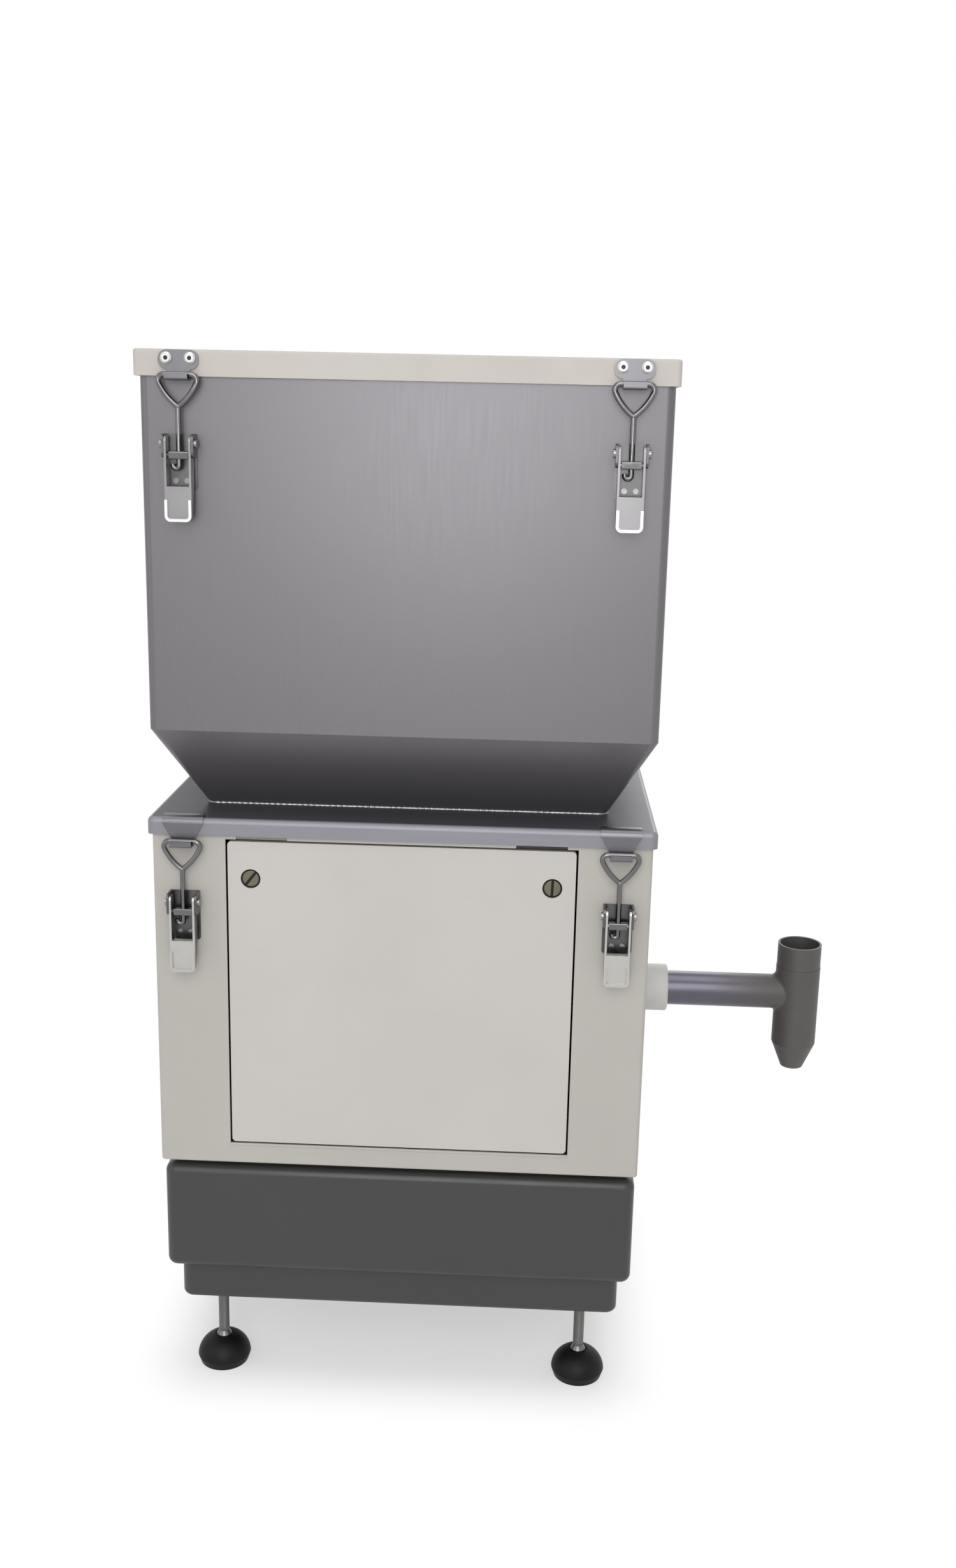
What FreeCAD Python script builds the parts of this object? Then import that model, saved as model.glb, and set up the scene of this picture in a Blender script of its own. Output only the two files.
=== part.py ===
import FreeCAD, Part
import math
import os

# Loss-in-weight powder feeder: a hopper on a drive cabinet that stands on a weighing base.
# Powder in the hopper falls through the cover into a trough. An agitator keeps it moving, and an
# auger carries it out through the side tube to a tee with a tapered spout. Millimetres, +Z up,
# +X towards the spout, -Y towards the access panel, Z = 0 on the floor. The pieces are drawn about
# the cabinet's middle and moved at the end, so that the origin is under the middle of the whole.

Vector = FreeCAD.Vector
X_AXIS = Vector(1, 0, 0)
Y_AXIS = Vector(0, 1, 0)
Z_AXIS = Vector(0, 0, 1)

# Sheet metal and clearances
SHEET = 1.5
RUNNING_GAP = 0.05
LOOSE_GAP = 0.3
# How far a cutting shape runs past the surface it cuts
OVERRUN = 1.0
# How much less an edge is rounded than the upright corners it runs into
ROUND_STEP = 1.0
# Two lengths that differ by less than this are taken as equal
CLOSE = 1e-4

# Levelling feet
FOOT_SPAN_X = 293.0
FOOT_SPAN_Y = 253.0
PAD_RADIUS = 21.5
PAD_HEIGHT = 22.0
PAD_RIM_HEIGHT = 6.0
PAD_DOME_RADIUS = 18.5
PAD_DOME_HEIGHT = 14.5
PAD_SEAT_HEIGHT = 10.0
PAD_NECK = 2.0
PAD_INSET = 2.0
STUD_RADIUS = 4.0
BALL_RADIUS = 6.0
BALL_COLLAR = 1.0
BALL_TAPER = 3.0
STUD_REACH = 18.0
FOOT_NUT_ACROSS = 13.0
FOOT_NUT_HEIGHT = 6.5

# Weighing base: a tray under a pan
TRAY_WIDTH = 350.0
TRAY_DEPTH = 303.0
TRAY_BOTTOM = 70.0
TRAY_WALL = 2.5
TRAY_HEIGHT = 62.0
TRAY_ROUND = 9.0
PAN_WIDTH = 368.0
PAN_DEPTH = 324.0
PAN_BOTTOM = 103.0
PAN_HEIGHT = 88.5
PAN_WALL = 2.0
PAN_ROUND = 8.0
PAN_MOUTH_GAP = 3.0
CELL_LENGTH = 130.0
CELL_WIDTH = 40.0
CELL_HEIGHT = 30.0
CELL_LIFT = 30.0
CELL_END = 36.0
CELL_EYE = 9.0
CELL_EYE_OFFSET = 8.1
CELL_BOLT_ACROSS = 7.8
CELL_BOLT_HEIGHT = 3.0
ISOLATOR_HEIGHT = 6.0
ISOLATOR_INSET = 8.0
ISOLATOR_WIDTH = 18.0

# Cabinet
CABINET_WIDTH = 370.0
CABINET_DEPTH = 330.0
CABINET_HEIGHT = 274.5
CABINET_ROUND = 3.0
TOP_FLANGE = 20.0
PANEL_WIDTH = 258.0
TOP_RAIL = 14.5
PANEL_GAP = 1.5
PANEL_LIFT = 18.5
PANEL_RETURN = 12.0
PANEL_ROUND = 3.0
LEDGE_DROP = 2.0
STRIKE_WIDTH = 38.0
STRIKE_INNER = 84.5
STRIKE_HEIGHT = 30.0
STRIKE_THICK = 2.0
NOTCH_HEIGHT = 5.0

# Quarter-turn studs of the access panel
TURN_SPACING = 224.0
TURN_BELOW_TOP = 28.5
TURN_HEAD_RADIUS = 6.2
TURN_HEAD_HEIGHT = 3.0
TURN_HEAD_SINK = 0.4
TURN_HOLE_GAP = 1.2
TURN_BODY_RADIUS = 4.6
TURN_SEAT_RADIUS = 10.0
TURN_SEAT_FLOOR = 2.0
TURN_SLOT = 2.0
TURN_SLOT_DEPTH = 1.4
TURN_HEAD_ROUND = 0.6
TONGUE_LENGTH = 17.0
TONGUE_WIDTH = 8.0
TONGUE_THICK = 2.0
SLOT_ANGLE_LEFT = 52.0
SLOT_ANGLE_RIGHT = 88.0

# Cover plate, hopper and lid
COVER_OVERHANG = 3.0
COVER_HEIGHT = 13.0
COVER_ROUND = 5.0
GASKET_HEIGHT = 1.5
HOPPER_WIDTH = 370.0
HOPPER_DEPTH = 330.0
HOPPER_STRAIGHT = 261.5
HOPPER_TAPER = 65.0
HOPPER_ROUND = 6.0
THROAT_WIDTH = 305.0
THROAT_DEPTH = 238.0
LID_OVERHANG = 3.0
LID_HEIGHT = 18.0
LID_ROUND = 3.0
LID_SEAL = 4.0
LID_SEAL_WIDTH = 12.0

# Draw latches, in each latch's own frame: u across, n out from the wall, w up from the bail's bar
LATCH_HOPPER_INSET = 29.0
LATCH_CABINET_INSET = 24.0
HOPPER_BAR_BELOW_TOP = 17.0
CABINET_BAR_BELOW_TOP = 16.5
WIRE_RADIUS = 1.9
BAR_OUT = 8.0
BAR_HALF = 13.4
LOOP_CORNER = 4.0
LOOP_SIDE_RADIUS = 40.0
LOOP_LEAN = 25.0
FORK_RADIUS = 2.1
STEM_LENGTH = 54.0
CRANK = 8.0
OVER_CENTRE = 1.5
STEM_TAIL = 9.0
TAIL_HOOK = 2.2
TRUNNION_WIDTH = 13.4
TRUNNION_SIZE = 5.4
TRUNNION_PIN = 1.6
TRUNNION_ROUND = 1.0
LEVER_WIDTH = 18.7
LEVER_SHEET = 1.5
LEVER_NOSE = 5.5
LEVER_NOSE_ROUND = 4.0
LEVER_FLANGE = 9.5
LEVER_LENGTH = 53.0
LEVER_WINDOW = 29.0
HANDLE_ROUND = 4.0
HANDLE_RIM = 2.0
HANDLE_RIM_RISE = 1.6
HANDLE_RIM_LENGTH = 15.0
PIVOT_RADIUS = 2.0
PIVOT_HEAD = 3.0
PIVOT_HEAD_THICK = 1.6
BASE_HEIGHT = 38.0
BASE_ABOVE_PIVOT = 6.5
BASE_SHEET = 1.5
BASE_ROUND = 2.0
EAR_HEIGHT = 16.0
EAR_ROUND = 4.5
RIVET_RADIUS = 2.0
RIVET_HEIGHT = 1.0
RIVET_SPACING = 8.0
RIVET_RISE = 6.0
KEEPER_SHEET = 1.5
KEEPER_HOOK_WIDTH = 16.0
KEEPER_LIP = 3.2
KEEPER_FRONT_GAP = 2.3
LID_KEEPER_WIDTH = 28.0
LID_KEEPER_RISE = 16.5
LID_KEEPER_ROUND = 6.0
COVER_KEEPER_WIDTH = 30.0
COVER_KEEPER_TAB = 4.0
KEEPER_SCREW_SPACING = 16.4
KEEPER_SCREW_RISE = 11.0
KEEPER_SCREW_RADIUS = 4.0
KEEPER_SCREW_HEAD = 2.4
KEEPER_SCREW_SHANK = 1.6
SOCKET_RADIUS = 1.5
SOCKET_FLOOR = 0.8

# Discharge line
SCREW_AXIS_Z = 292.0
TUBE_RADIUS = 14.5
TUBE_WALL = 2.0
TUBE_FLANGE_RADIUS = 24.0
TUBE_FLANGE_THICK = 3.0
TEE_REACH = 142.0
TEE_RADIUS = 18.5
TEE_WELD = 4.0
TEE_TOP = 336.0
SPIGOT_RADIUS = 18.2
SPIGOT_HEIGHT = 20.0
TEE_BOTTOM = 225.0
SPOUT_HEIGHT = 22.0
SPOUT_RADIUS = 9.5
SPOUT_WALL = 2.0
COLLAR_RADIUS = 19.8
COLLAR_LENGTH = 30.5
COLLAR_BEVEL = 1.2

# Trough, auger, agitator and their drive
TROUGH_HALF_LENGTH = 150.5
TROUGH_RADIUS = 15.0
TROUGH_FLANGE = 12.0
AUGER_SHAFT_RADIUS = 4.0
AUGER_RADIUS = 11.8
AUGER_PITCH = 24.0
AUGER_FLIGHT = 2.0
AUGER_ROOT = 0.5
AUGER_TIP_GAP = 11.0
AUGER_START_GAP = 3.0
AGITATOR_RADIUS = 38.0
AGITATOR_BAR_RADIUS = 3.0
AGITATOR_ARMS = 3
AGITATOR_ARM_SPACING = 100.0
BUSH_RADIUS = 11.0
BUSH_LENGTH = 6.0
GEAR_MODULE = 2.0
GEAR_WIDTH = 8.0
GEAR_GAP = 9.5
GEAR_BACKLASH = 0.25
GEAR_ADDENDUM = 0.95
GEAR_DEDENDUM = 1.2
PRESSURE_ANGLE = 20.0
AUGER_TEETH = 36
AGITATOR_TEETH = 30
PINION_TEETH = 20
PINION_SHAFT_RADIUS = 5.0
GEARBOX_LENGTH = 45.0
GEARBOX_ROUND = 4.0
GEARBOX_BORE_DEPTH = 12.0
MOTOR_INSET = 2.0
MOTOR_LENGTH = 105.0
MOTOR_CAP = 10.0
MOTOR_CAP_STEP = 3.0
BRACKET_HEIGHT = 8.0
INLET_X = 110.0
INLET_Z = 240.0
INLET_FLANGE = 25.0
INLET_FLANGE_THICK = 2.0
INLET_FLANGE_ROUND = 3.0
INLET_RADIUS = 9.5
INLET_LENGTH = 12.0
INLET_BORE = 8.0
INLET_DEPTH = 8.0
INLET_PINS = 4
INLET_PIN_CIRCLE = 4.0
INLET_PIN_RADIUS = 0.8
INLET_PIN_LENGTH = 6.0

# Levels that follow from the sizes above
PAN_TOP = PAN_BOTTOM + PAN_HEIGHT
CABINET_BOTTOM = PAN_TOP + ISOLATOR_HEIGHT
CABINET_TOP = CABINET_BOTTOM + CABINET_HEIGHT
COVER_UNDER = CABINET_TOP + GASKET_HEIGHT
COVER_TOP = COVER_UNDER + SHEET
HOPPER_KNEE = COVER_TOP + HOPPER_TAPER
HOPPER_TOP = HOPPER_KNEE + HOPPER_STRAIGHT
LID_TOP = HOPPER_TOP + LID_SEAL + SHEET
PANEL_BOTTOM = CABINET_BOTTOM + PANEL_LIFT
PANEL_TOP = CABINET_TOP - TOP_RAIL
FRONT_Y = -CABINET_DEPTH / 2
RIGHT_X = CABINET_WIDTH / 2
COLLAR_END = RIGHT_X + COLLAR_LENGTH
TEE_X = RIGHT_X + TEE_REACH
PINION_AXIS_Z = SCREW_AXIS_Z - GEAR_MODULE * (AUGER_TEETH + PINION_TEETH) / 2
AGITATOR_AXIS_Z = SCREW_AXIS_Z + GEAR_MODULE * (AUGER_TEETH + AGITATOR_TEETH) / 2
GEAR_X = -TROUGH_HALF_LENGTH - GEAR_GAP - GEAR_WIDTH
GEARBOX_BOTTOM = CABINET_BOTTOM + SHEET + BRACKET_HEIGHT
GEARBOX_HALF = PINION_AXIS_Z - GEARBOX_BOTTOM
MOTOR_RADIUS = GEARBOX_HALF - MOTOR_INSET
LEFT_X = -max(CABINET_WIDTH / 2 + COVER_OVERHANG, HOPPER_WIDTH / 2 + LID_OVERHANG)
MIDDLE_X = (LEFT_X + TEE_X + TEE_RADIUS) / 2


# Shared shapes

def block(x_range, y_range, z_range):
    """A box between pairs of limits."""
    size = [pair[1] - pair[0] for pair in (x_range, y_range, z_range)]
    return Part.makeBox(*size, Vector(x_range[0], y_range[0], z_range[0]))


def centred(width, depth, bottom, top):
    """A box about the Z axis."""
    return block((-width / 2, width / 2), (-depth / 2, depth / 2), (bottom, top))


def cylinder(radius, start, end):
    """A round bar between two points."""
    direction = end - start
    return Part.makeCylinder(radius, direction.Length, start, direction)


def runs_along(edge, axis):
    """True for a straight edge parallel to the axis."""
    span = edge.Vertexes[-1].Point - edge.Vertexes[0].Point
    return span.Length > CLOSE and span.cross(axis).Length < CLOSE * span.Length


def lies_at(edge, height):
    """True for an edge that lies at one height."""
    return abs(edge.BoundBox.ZMin - height) < CLOSE and abs(edge.BoundBox.ZMax - height) < CLOSE


def round_along(shape, axis, radius):
    """Rounds every edge that is parallel to the axis."""
    return shape.makeFillet(radius, [e for e in shape.Edges if runs_along(e, axis)])


def round_at(shape, height, radius):
    """Rounds the whole outline at one height."""
    return shape.makeFillet(radius, [e for e in shape.Edges if lies_at(e, height)])


def rounded_outline(width, depth, radius, height):
    """A closed rectangle with round corners, about the Z axis."""
    face = Part.makePlane(width, depth, Vector(-width / 2, -depth / 2, height))
    solid = round_along(face.extrude(Z_AXIS), Z_AXIS, radius)
    return min(solid.Faces, key=lambda f: f.CenterOfMass.z).OuterWire


def revolve(points):
    """A solid of revolution about the Z axis from (radius, height) corners."""
    outline = Part.makePolygon([Vector(r, 0, z) for r, z in points + points[:1]])
    return Part.Face(outline).revolve(Vector(), Z_AXIS, 360)


def hexagon(across, bottom, height, centre):
    """A hexagon nut blank on the Z axis of a point."""
    corner = across / math.sqrt(3)
    turns = [math.radians(60 * k) for k in range(7)]
    points = [Vector(corner * math.cos(t), corner * math.sin(t), bottom) + centre for t in turns]
    return Part.Face(Part.makePolygon(points)).extrude(Vector(0, 0, height))


def rounded_path(points, radii):
    """An open wire of straight runs with tangent arcs at the corners that have a radius."""
    edges = []
    end = points[0]
    for before, here, after, radius in zip(points, points[1:], points[2:], radii):
        back = (before - here).normalize()
        ahead = (after - here).normalize()
        half_angle = math.acos(back.dot(ahead)) / 2
        reach = radius / math.tan(half_angle)
        middle = here + (back + ahead).normalize() * (radius / math.sin(half_angle) - radius)
        start = here + back * reach
        if end.distanceToPoint(start) > CLOSE:
            edges.append(Part.LineSegment(end, start).toShape())
        end = here + ahead * reach
        edges.append(Part.Arc(start, middle, end).toShape())
    edges.append(Part.LineSegment(end, points[-1]).toShape())
    return Part.Wire(edges)


def wire_rod(path, radius):
    """Round wire bent along an open path: a bar for each straight run, a ring sector for each arc."""
    pieces = []
    for edge in path.Edges:
        start = edge.valueAt(edge.FirstParameter)
        heading = edge.tangentAt(edge.FirstParameter)
        disc = Part.Face(Part.Wire(Part.makeCircle(radius, start, heading)))
        if edge.Curve.TypeId == "Part::GeomCircle":
            bend = math.degrees(edge.Length / edge.Curve.Radius)
            turn = (start - edge.Curve.Center).cross(heading)
            pieces.append(disc.revolve(edge.Curve.Center, turn, bend))
        else:
            pieces.append(disc.extrude(heading * edge.Length))
    return pieces[0].fuse(pieces[1:]).removeSplitter()


def half_turn(shape):
    """The same piece on the opposite side of the machine."""
    copy = shape.copy()
    copy.rotate(Vector(), Z_AXIS, 180)
    return copy


# Weighing base

def foot_places():
    """Name and place of each levelling foot."""
    x = FOOT_SPAN_X / 2
    y = FOOT_SPAN_Y / 2
    return {
        "front_left": Vector(-x, -y, 0),
        "front_right": Vector(x, -y, 0),
        "rear_left": Vector(-x, y, 0),
        "rear_right": Vector(x, y, 0),
    }


def foot_pad():
    """Rubber pad: a low dome with a pocket for the stud's ball."""
    neck = BALL_RADIUS + PAD_NECK
    dome = Part.Arc(
        Vector(PAD_RADIUS, 0, PAD_RIM_HEIGHT),
        Vector(PAD_DOME_RADIUS, 0, PAD_DOME_HEIGHT),
        Vector(neck, 0, PAD_HEIGHT),
    ).toShape()
    corners = [
        Vector(neck, 0, PAD_HEIGHT),
        Vector(0, 0, PAD_HEIGHT),
        Vector(),
        Vector(PAD_RADIUS - PAD_INSET, 0, 0),
        Vector(PAD_RADIUS, 0, PAD_RIM_HEIGHT),
    ]
    sides = [Part.LineSegment(a, b).toShape() for a, b in zip(corners, corners[1:])]
    pad = Part.Face(Part.Wire([dome] + sides)).revolve(Vector(), Z_AXIS, 360)
    pocket = Part.makeCylinder(BALL_RADIUS + RUNNING_GAP, PAD_HEIGHT, Vector(0, 0, PAD_SEAT_HEIGHT))
    return pad.cut(pocket)


def foot_stud():
    """Threaded stud with its ball seated in the pad."""
    shoulder = PAD_HEIGHT + BALL_COLLAR
    top = shoulder + BALL_TAPER
    ball = revolve([
        (0, PAD_SEAT_HEIGHT), (BALL_RADIUS, PAD_SEAT_HEIGHT), (BALL_RADIUS, shoulder),
        (STUD_RADIUS, top), (0, top),
    ])
    bar = Part.makeCylinder(STUD_RADIUS, TRAY_BOTTOM + STUD_REACH - PAD_HEIGHT, Vector(0, 0, PAD_HEIGHT))
    return ball.fuse(bar).removeSplitter()


def foot_nuts():
    """Weld nuts on the tray floor that the studs turn in."""
    nuts = []
    for place in foot_places().values():
        nut = hexagon(FOOT_NUT_ACROSS, TRAY_BOTTOM + TRAY_WALL, FOOT_NUT_HEIGHT, place)
        bore = Part.makeCylinder(STUD_RADIUS + RUNNING_GAP, TRAY_BOTTOM, place + Vector(0, 0, TRAY_BOTTOM))
        nuts.append(nut.cut(bore))
    return Part.makeCompound(nuts)


def scale_tray():
    """Lower tray of the weighing base, open at the top."""
    top = TRAY_BOTTOM + TRAY_HEIGHT
    outer = round_along(centred(TRAY_WIDTH, TRAY_DEPTH, TRAY_BOTTOM, top), Z_AXIS, TRAY_ROUND)
    outer = round_at(outer, TRAY_BOTTOM, TRAY_ROUND / 2)
    inside = centred(
        TRAY_WIDTH - 2 * TRAY_WALL, TRAY_DEPTH - 2 * TRAY_WALL, TRAY_BOTTOM + TRAY_WALL, top + OVERRUN
    )
    tray = outer.cut(round_along(inside, Z_AXIS, TRAY_ROUND - TRAY_WALL))
    for place in foot_places().values():
        tray = tray.cut(Part.makeCylinder(STUD_RADIUS + LOOSE_GAP, TRAY_BOTTOM + TRAY_HEIGHT, place))
    return tray


def scale_pan():
    """Weighing pan: a rounded cover whose lower edge rolls in over the tray."""
    outer = round_along(centred(PAN_WIDTH, PAN_DEPTH, PAN_BOTTOM, PAN_TOP), Z_AXIS, PAN_ROUND)
    for level in (PAN_TOP, PAN_BOTTOM):
        outer = round_at(outer, level, PAN_ROUND - ROUND_STEP)
    inside = centred(
        PAN_WIDTH - 2 * PAN_WALL, PAN_DEPTH - 2 * PAN_WALL, PAN_BOTTOM + PAN_WALL, PAN_TOP - PAN_WALL
    )
    inside = round_along(inside, Z_AXIS, PAN_ROUND - PAN_WALL)
    for level in (PAN_TOP - PAN_WALL, PAN_BOTTOM + PAN_WALL):
        inside = round_at(inside, level, PAN_ROUND - PAN_WALL - ROUND_STEP)
    mouth = centred(
        TRAY_WIDTH + 2 * PAN_MOUTH_GAP,
        TRAY_DEPTH + 2 * PAN_MOUTH_GAP,
        PAN_BOTTOM - OVERRUN,
        PAN_BOTTOM + PAN_ROUND,
    )
    return outer.cut(inside).cut(round_along(mouth, Z_AXIS, TRAY_ROUND + PAN_MOUTH_GAP))


def cell_levels():
    """Lower and upper face of the load cell."""
    bottom = TRAY_BOTTOM + TRAY_WALL + CELL_LIFT
    return bottom, bottom + CELL_HEIGHT


def load_cell():
    """Single-point load cell: a bar weakened by two joined eyes."""
    bottom, top = cell_levels()
    bar = centred(CELL_LENGTH, CELL_WIDTH, bottom, top)
    level = (bottom + top) / 2
    eyes = [
        cylinder(CELL_EYE, Vector(x, -CELL_WIDTH, level), Vector(x, CELL_WIDTH, level))
        for x in (-CELL_EYE_OFFSET, CELL_EYE_OFFSET)
    ]
    return bar.cut(eyes[0].fuse(eyes[1]))


def cell_end_x(side):
    """Middle of the load cell's fixed (-1) or live (+1) end."""
    return side * (CELL_LENGTH - CELL_END) / 2


def cell_spacers():
    """Block under the fixed end and block over the live end."""
    bottom, top = cell_levels()
    half = CELL_END / 2
    depth = (-CELL_WIDTH / 2, CELL_WIDTH / 2)
    fixed = cell_end_x(-1)
    live = cell_end_x(1)
    lower = block((fixed - half, fixed + half), depth, (TRAY_BOTTOM + TRAY_WALL, bottom))
    upper = block((live - half, live + half), depth, (top, PAN_TOP - PAN_WALL))
    return Part.makeCompound([lower, upper])


def cell_bolts():
    """Cap screws that show on the load cell's free faces."""
    bottom, top = cell_levels()
    bolts = []
    for side, level in ((-1, top), (1, bottom - CELL_BOLT_HEIGHT)):
        for y in (-CELL_WIDTH / 4, CELL_WIDTH / 4):
            place = Vector(cell_end_x(side), y, level)
            bolts.append(hexagon(CELL_BOLT_ACROSS, 0, CELL_BOLT_HEIGHT, place))
    return Part.makeCompound(bolts)


def isolator():
    """Rubber frame between the pan and the cabinet."""
    width = PAN_WIDTH - 2 * ISOLATOR_INSET
    depth = PAN_DEPTH - 2 * ISOLATOR_INSET
    outer = centred(width, depth, PAN_TOP, CABINET_BOTTOM)
    hole = centred(
        width - 2 * ISOLATOR_WIDTH, depth - 2 * ISOLATOR_WIDTH, PAN_TOP - OVERRUN, CABINET_BOTTOM + OVERRUN
    )
    return outer.cut(hole)


# Cabinet

def cabinet_shell():
    """Folded sheet box with a front opening, a tube hole and an in-turned top flange."""
    outer = centred(CABINET_WIDTH, CABINET_DEPTH, CABINET_BOTTOM, CABINET_TOP)
    outer = round_along(outer, Z_AXIS, CABINET_ROUND)
    outer = round_at(outer, CABINET_BOTTOM, CABINET_ROUND - ROUND_STEP)
    inside = centred(
        CABINET_WIDTH - 2 * SHEET, CABINET_DEPTH - 2 * SHEET, CABINET_BOTTOM + SHEET, CABINET_TOP - SHEET
    )
    mouth = centred(
        CABINET_WIDTH - 2 * TOP_FLANGE,
        CABINET_DEPTH - 2 * TOP_FLANGE,
        CABINET_TOP - 2 * SHEET,
        CABINET_TOP + OVERRUN,
    )
    shell = outer.cut(round_along(inside, Z_AXIS, CABINET_ROUND - SHEET)).cut(mouth)
    wall = (FRONT_Y - OVERRUN, FRONT_Y + SHEET + OVERRUN)
    half = PANEL_WIDTH / 2 + PANEL_GAP
    opening = block((-half, half), wall, (PANEL_BOTTOM - PANEL_GAP, PANEL_TOP + PANEL_GAP))
    shell = shell.cut(opening)
    for side in (-1, 1):
        limits = sorted((side * STRIKE_INNER, side * (STRIKE_INNER + STRIKE_WIDTH)))
        notch = (PANEL_TOP, PANEL_TOP + PANEL_GAP + NOTCH_HEIGHT)
        shell = shell.cut(block(limits, wall, notch))
    through = 2 * SHEET
    tube = Vector(RIGHT_X, 0, SCREW_AXIS_Z)
    hole = cylinder(TUBE_RADIUS + LOOSE_GAP, tube - X_AXIS * through, tube + X_AXIS * through)
    inlet = Vector(INLET_X, CABINET_DEPTH / 2, INLET_Z)
    socket = cylinder(INLET_RADIUS + LOOSE_GAP, inlet - Y_AXIS * through, inlet + Y_AXIS * through)
    return shell.cut(hole).cut(socket).fuse(panel_ledge()).removeSplitter()


def panel_ledge():
    """Bevelled sill that the access panel's lower edge sits behind."""
    half = PANEL_WIDTH / 2 + PANEL_GAP
    top = PANEL_BOTTOM - PANEL_GAP
    profile = Part.makePolygon([
        Vector(-half, FRONT_Y, top - LEDGE_DROP),
        Vector(-half, FRONT_Y - LEDGE_DROP / 2, top - LEDGE_DROP / 2),
        Vector(-half, FRONT_Y, top),
        Vector(-half, FRONT_Y + SHEET, top),
        Vector(-half, FRONT_Y + SHEET, top - LEDGE_DROP),
        Vector(-half, FRONT_Y, top - LEDGE_DROP),
    ])
    return Part.Face(profile).extrude(Vector(2 * half, 0, 0))


def turn_place(side):
    """Middle of a quarter-turn stud on the panel's outer face."""
    return Vector(side * TURN_SPACING / 2, FRONT_Y, PANEL_TOP - TURN_BELOW_TOP)


def access_panel():
    """Front panel: a tray of sheet with returns, bored for the two studs."""
    half = PANEL_WIDTH / 2
    outer = block((-half, half), (FRONT_Y, FRONT_Y + PANEL_RETURN), (PANEL_BOTTOM, PANEL_TOP))
    outer = round_along(outer, Y_AXIS, PANEL_ROUND)
    inside = block(
        (-half + SHEET, half - SHEET),
        (FRONT_Y + SHEET, FRONT_Y + PANEL_RETURN + OVERRUN),
        (PANEL_BOTTOM + SHEET, PANEL_TOP - SHEET),
    )
    panel = outer.cut(round_along(inside, Y_AXIS, PANEL_ROUND - SHEET))
    for side in (-1, 1):
        middle = turn_place(side)
        hole = TURN_HEAD_RADIUS + TURN_HOLE_GAP
        panel = panel.cut(cylinder(hole, middle - Y_AXIS * OVERRUN, middle + Y_AXIS * (SHEET + OVERRUN)))
    return panel


def stud_seats():
    """Cups behind the panel's holes that the studs turn in."""
    cups = []
    depth = TURN_HEAD_SINK + TURN_HEAD_HEIGHT + LOOSE_GAP
    for side in (-1, 1):
        middle = turn_place(side)
        floor = middle + Y_AXIS * depth
        end = floor + Y_AXIS * TURN_SEAT_FLOOR
        cup = cylinder(TURN_SEAT_RADIUS, middle + Y_AXIS * SHEET, end)
        well = cylinder(TURN_HEAD_RADIUS + TURN_HOLE_GAP, middle, floor)
        bore = cylinder(TURN_BODY_RADIUS + RUNNING_GAP, middle, end + Y_AXIS * OVERRUN)
        cups.append(cup.cut(well).cut(bore))
    return Part.makeCompound(cups)


def quarter_turn(side, slot_angle):
    """Coin-slot stud: head sunk in the panel's hole, body through its seat, tongue behind."""
    middle = turn_place(side)
    face = middle + Y_AXIS * TURN_HEAD_SINK
    back = face + Y_AXIS * TURN_HEAD_HEIGHT
    head = cylinder(TURN_HEAD_RADIUS, face, back)
    rim = [e for e in head.Edges if abs(e.BoundBox.YMax - face.y) < CLOSE]
    head = head.makeFillet(TURN_HEAD_ROUND, rim)
    half = TURN_SLOT / 2
    slot = block((-PANEL_WIDTH / 2, PANEL_WIDTH / 2), (-OVERRUN, TURN_SLOT_DEPTH), (-half, half))
    slot.rotate(Vector(), Y_AXIS, -slot_angle)
    slot.translate(face)
    reach = PANEL_RETURN + STRIKE_THICK + 2 * LOOSE_GAP
    body = cylinder(TURN_BODY_RADIUS, back, middle + Y_AXIS * reach)
    limits = sorted((0, -side * TONGUE_LENGTH))
    tongue = block(limits, (reach, reach + TONGUE_THICK), (-TONGUE_WIDTH / 2, TONGUE_WIDTH / 2))
    tongue.translate(middle)
    boss = cylinder(TURN_BODY_RADIUS, middle + Y_AXIS * reach, middle + Y_AXIS * (reach + TONGUE_THICK))
    return head.cut(slot).fuse([body, tongue, boss]).removeSplitter()


def panel_strikes():
    """Strike plates behind the top rail, which the studs' tongues turn behind."""
    plates = []
    inner = FRONT_Y + PANEL_RETURN + LOOSE_GAP
    top = CABINET_TOP - SHEET
    for side in (-1, 1):
        limits = sorted((side * STRIKE_INNER, side * (STRIKE_INNER + STRIKE_WIDTH)))
        hanging = block(limits, (inner, inner + STRIKE_THICK), (top - STRIKE_HEIGHT, top))
        cover = block(limits, (FRONT_Y + SHEET, inner + STRIKE_THICK), (top - STRIKE_THICK, top))
        front = block(limits, (FRONT_Y + SHEET, FRONT_Y + SHEET + STRIKE_THICK), (PANEL_TOP + PANEL_GAP, top))
        plates.append(hanging.fuse([cover, front]).removeSplitter())
    return Part.makeCompound(plates)


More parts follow.
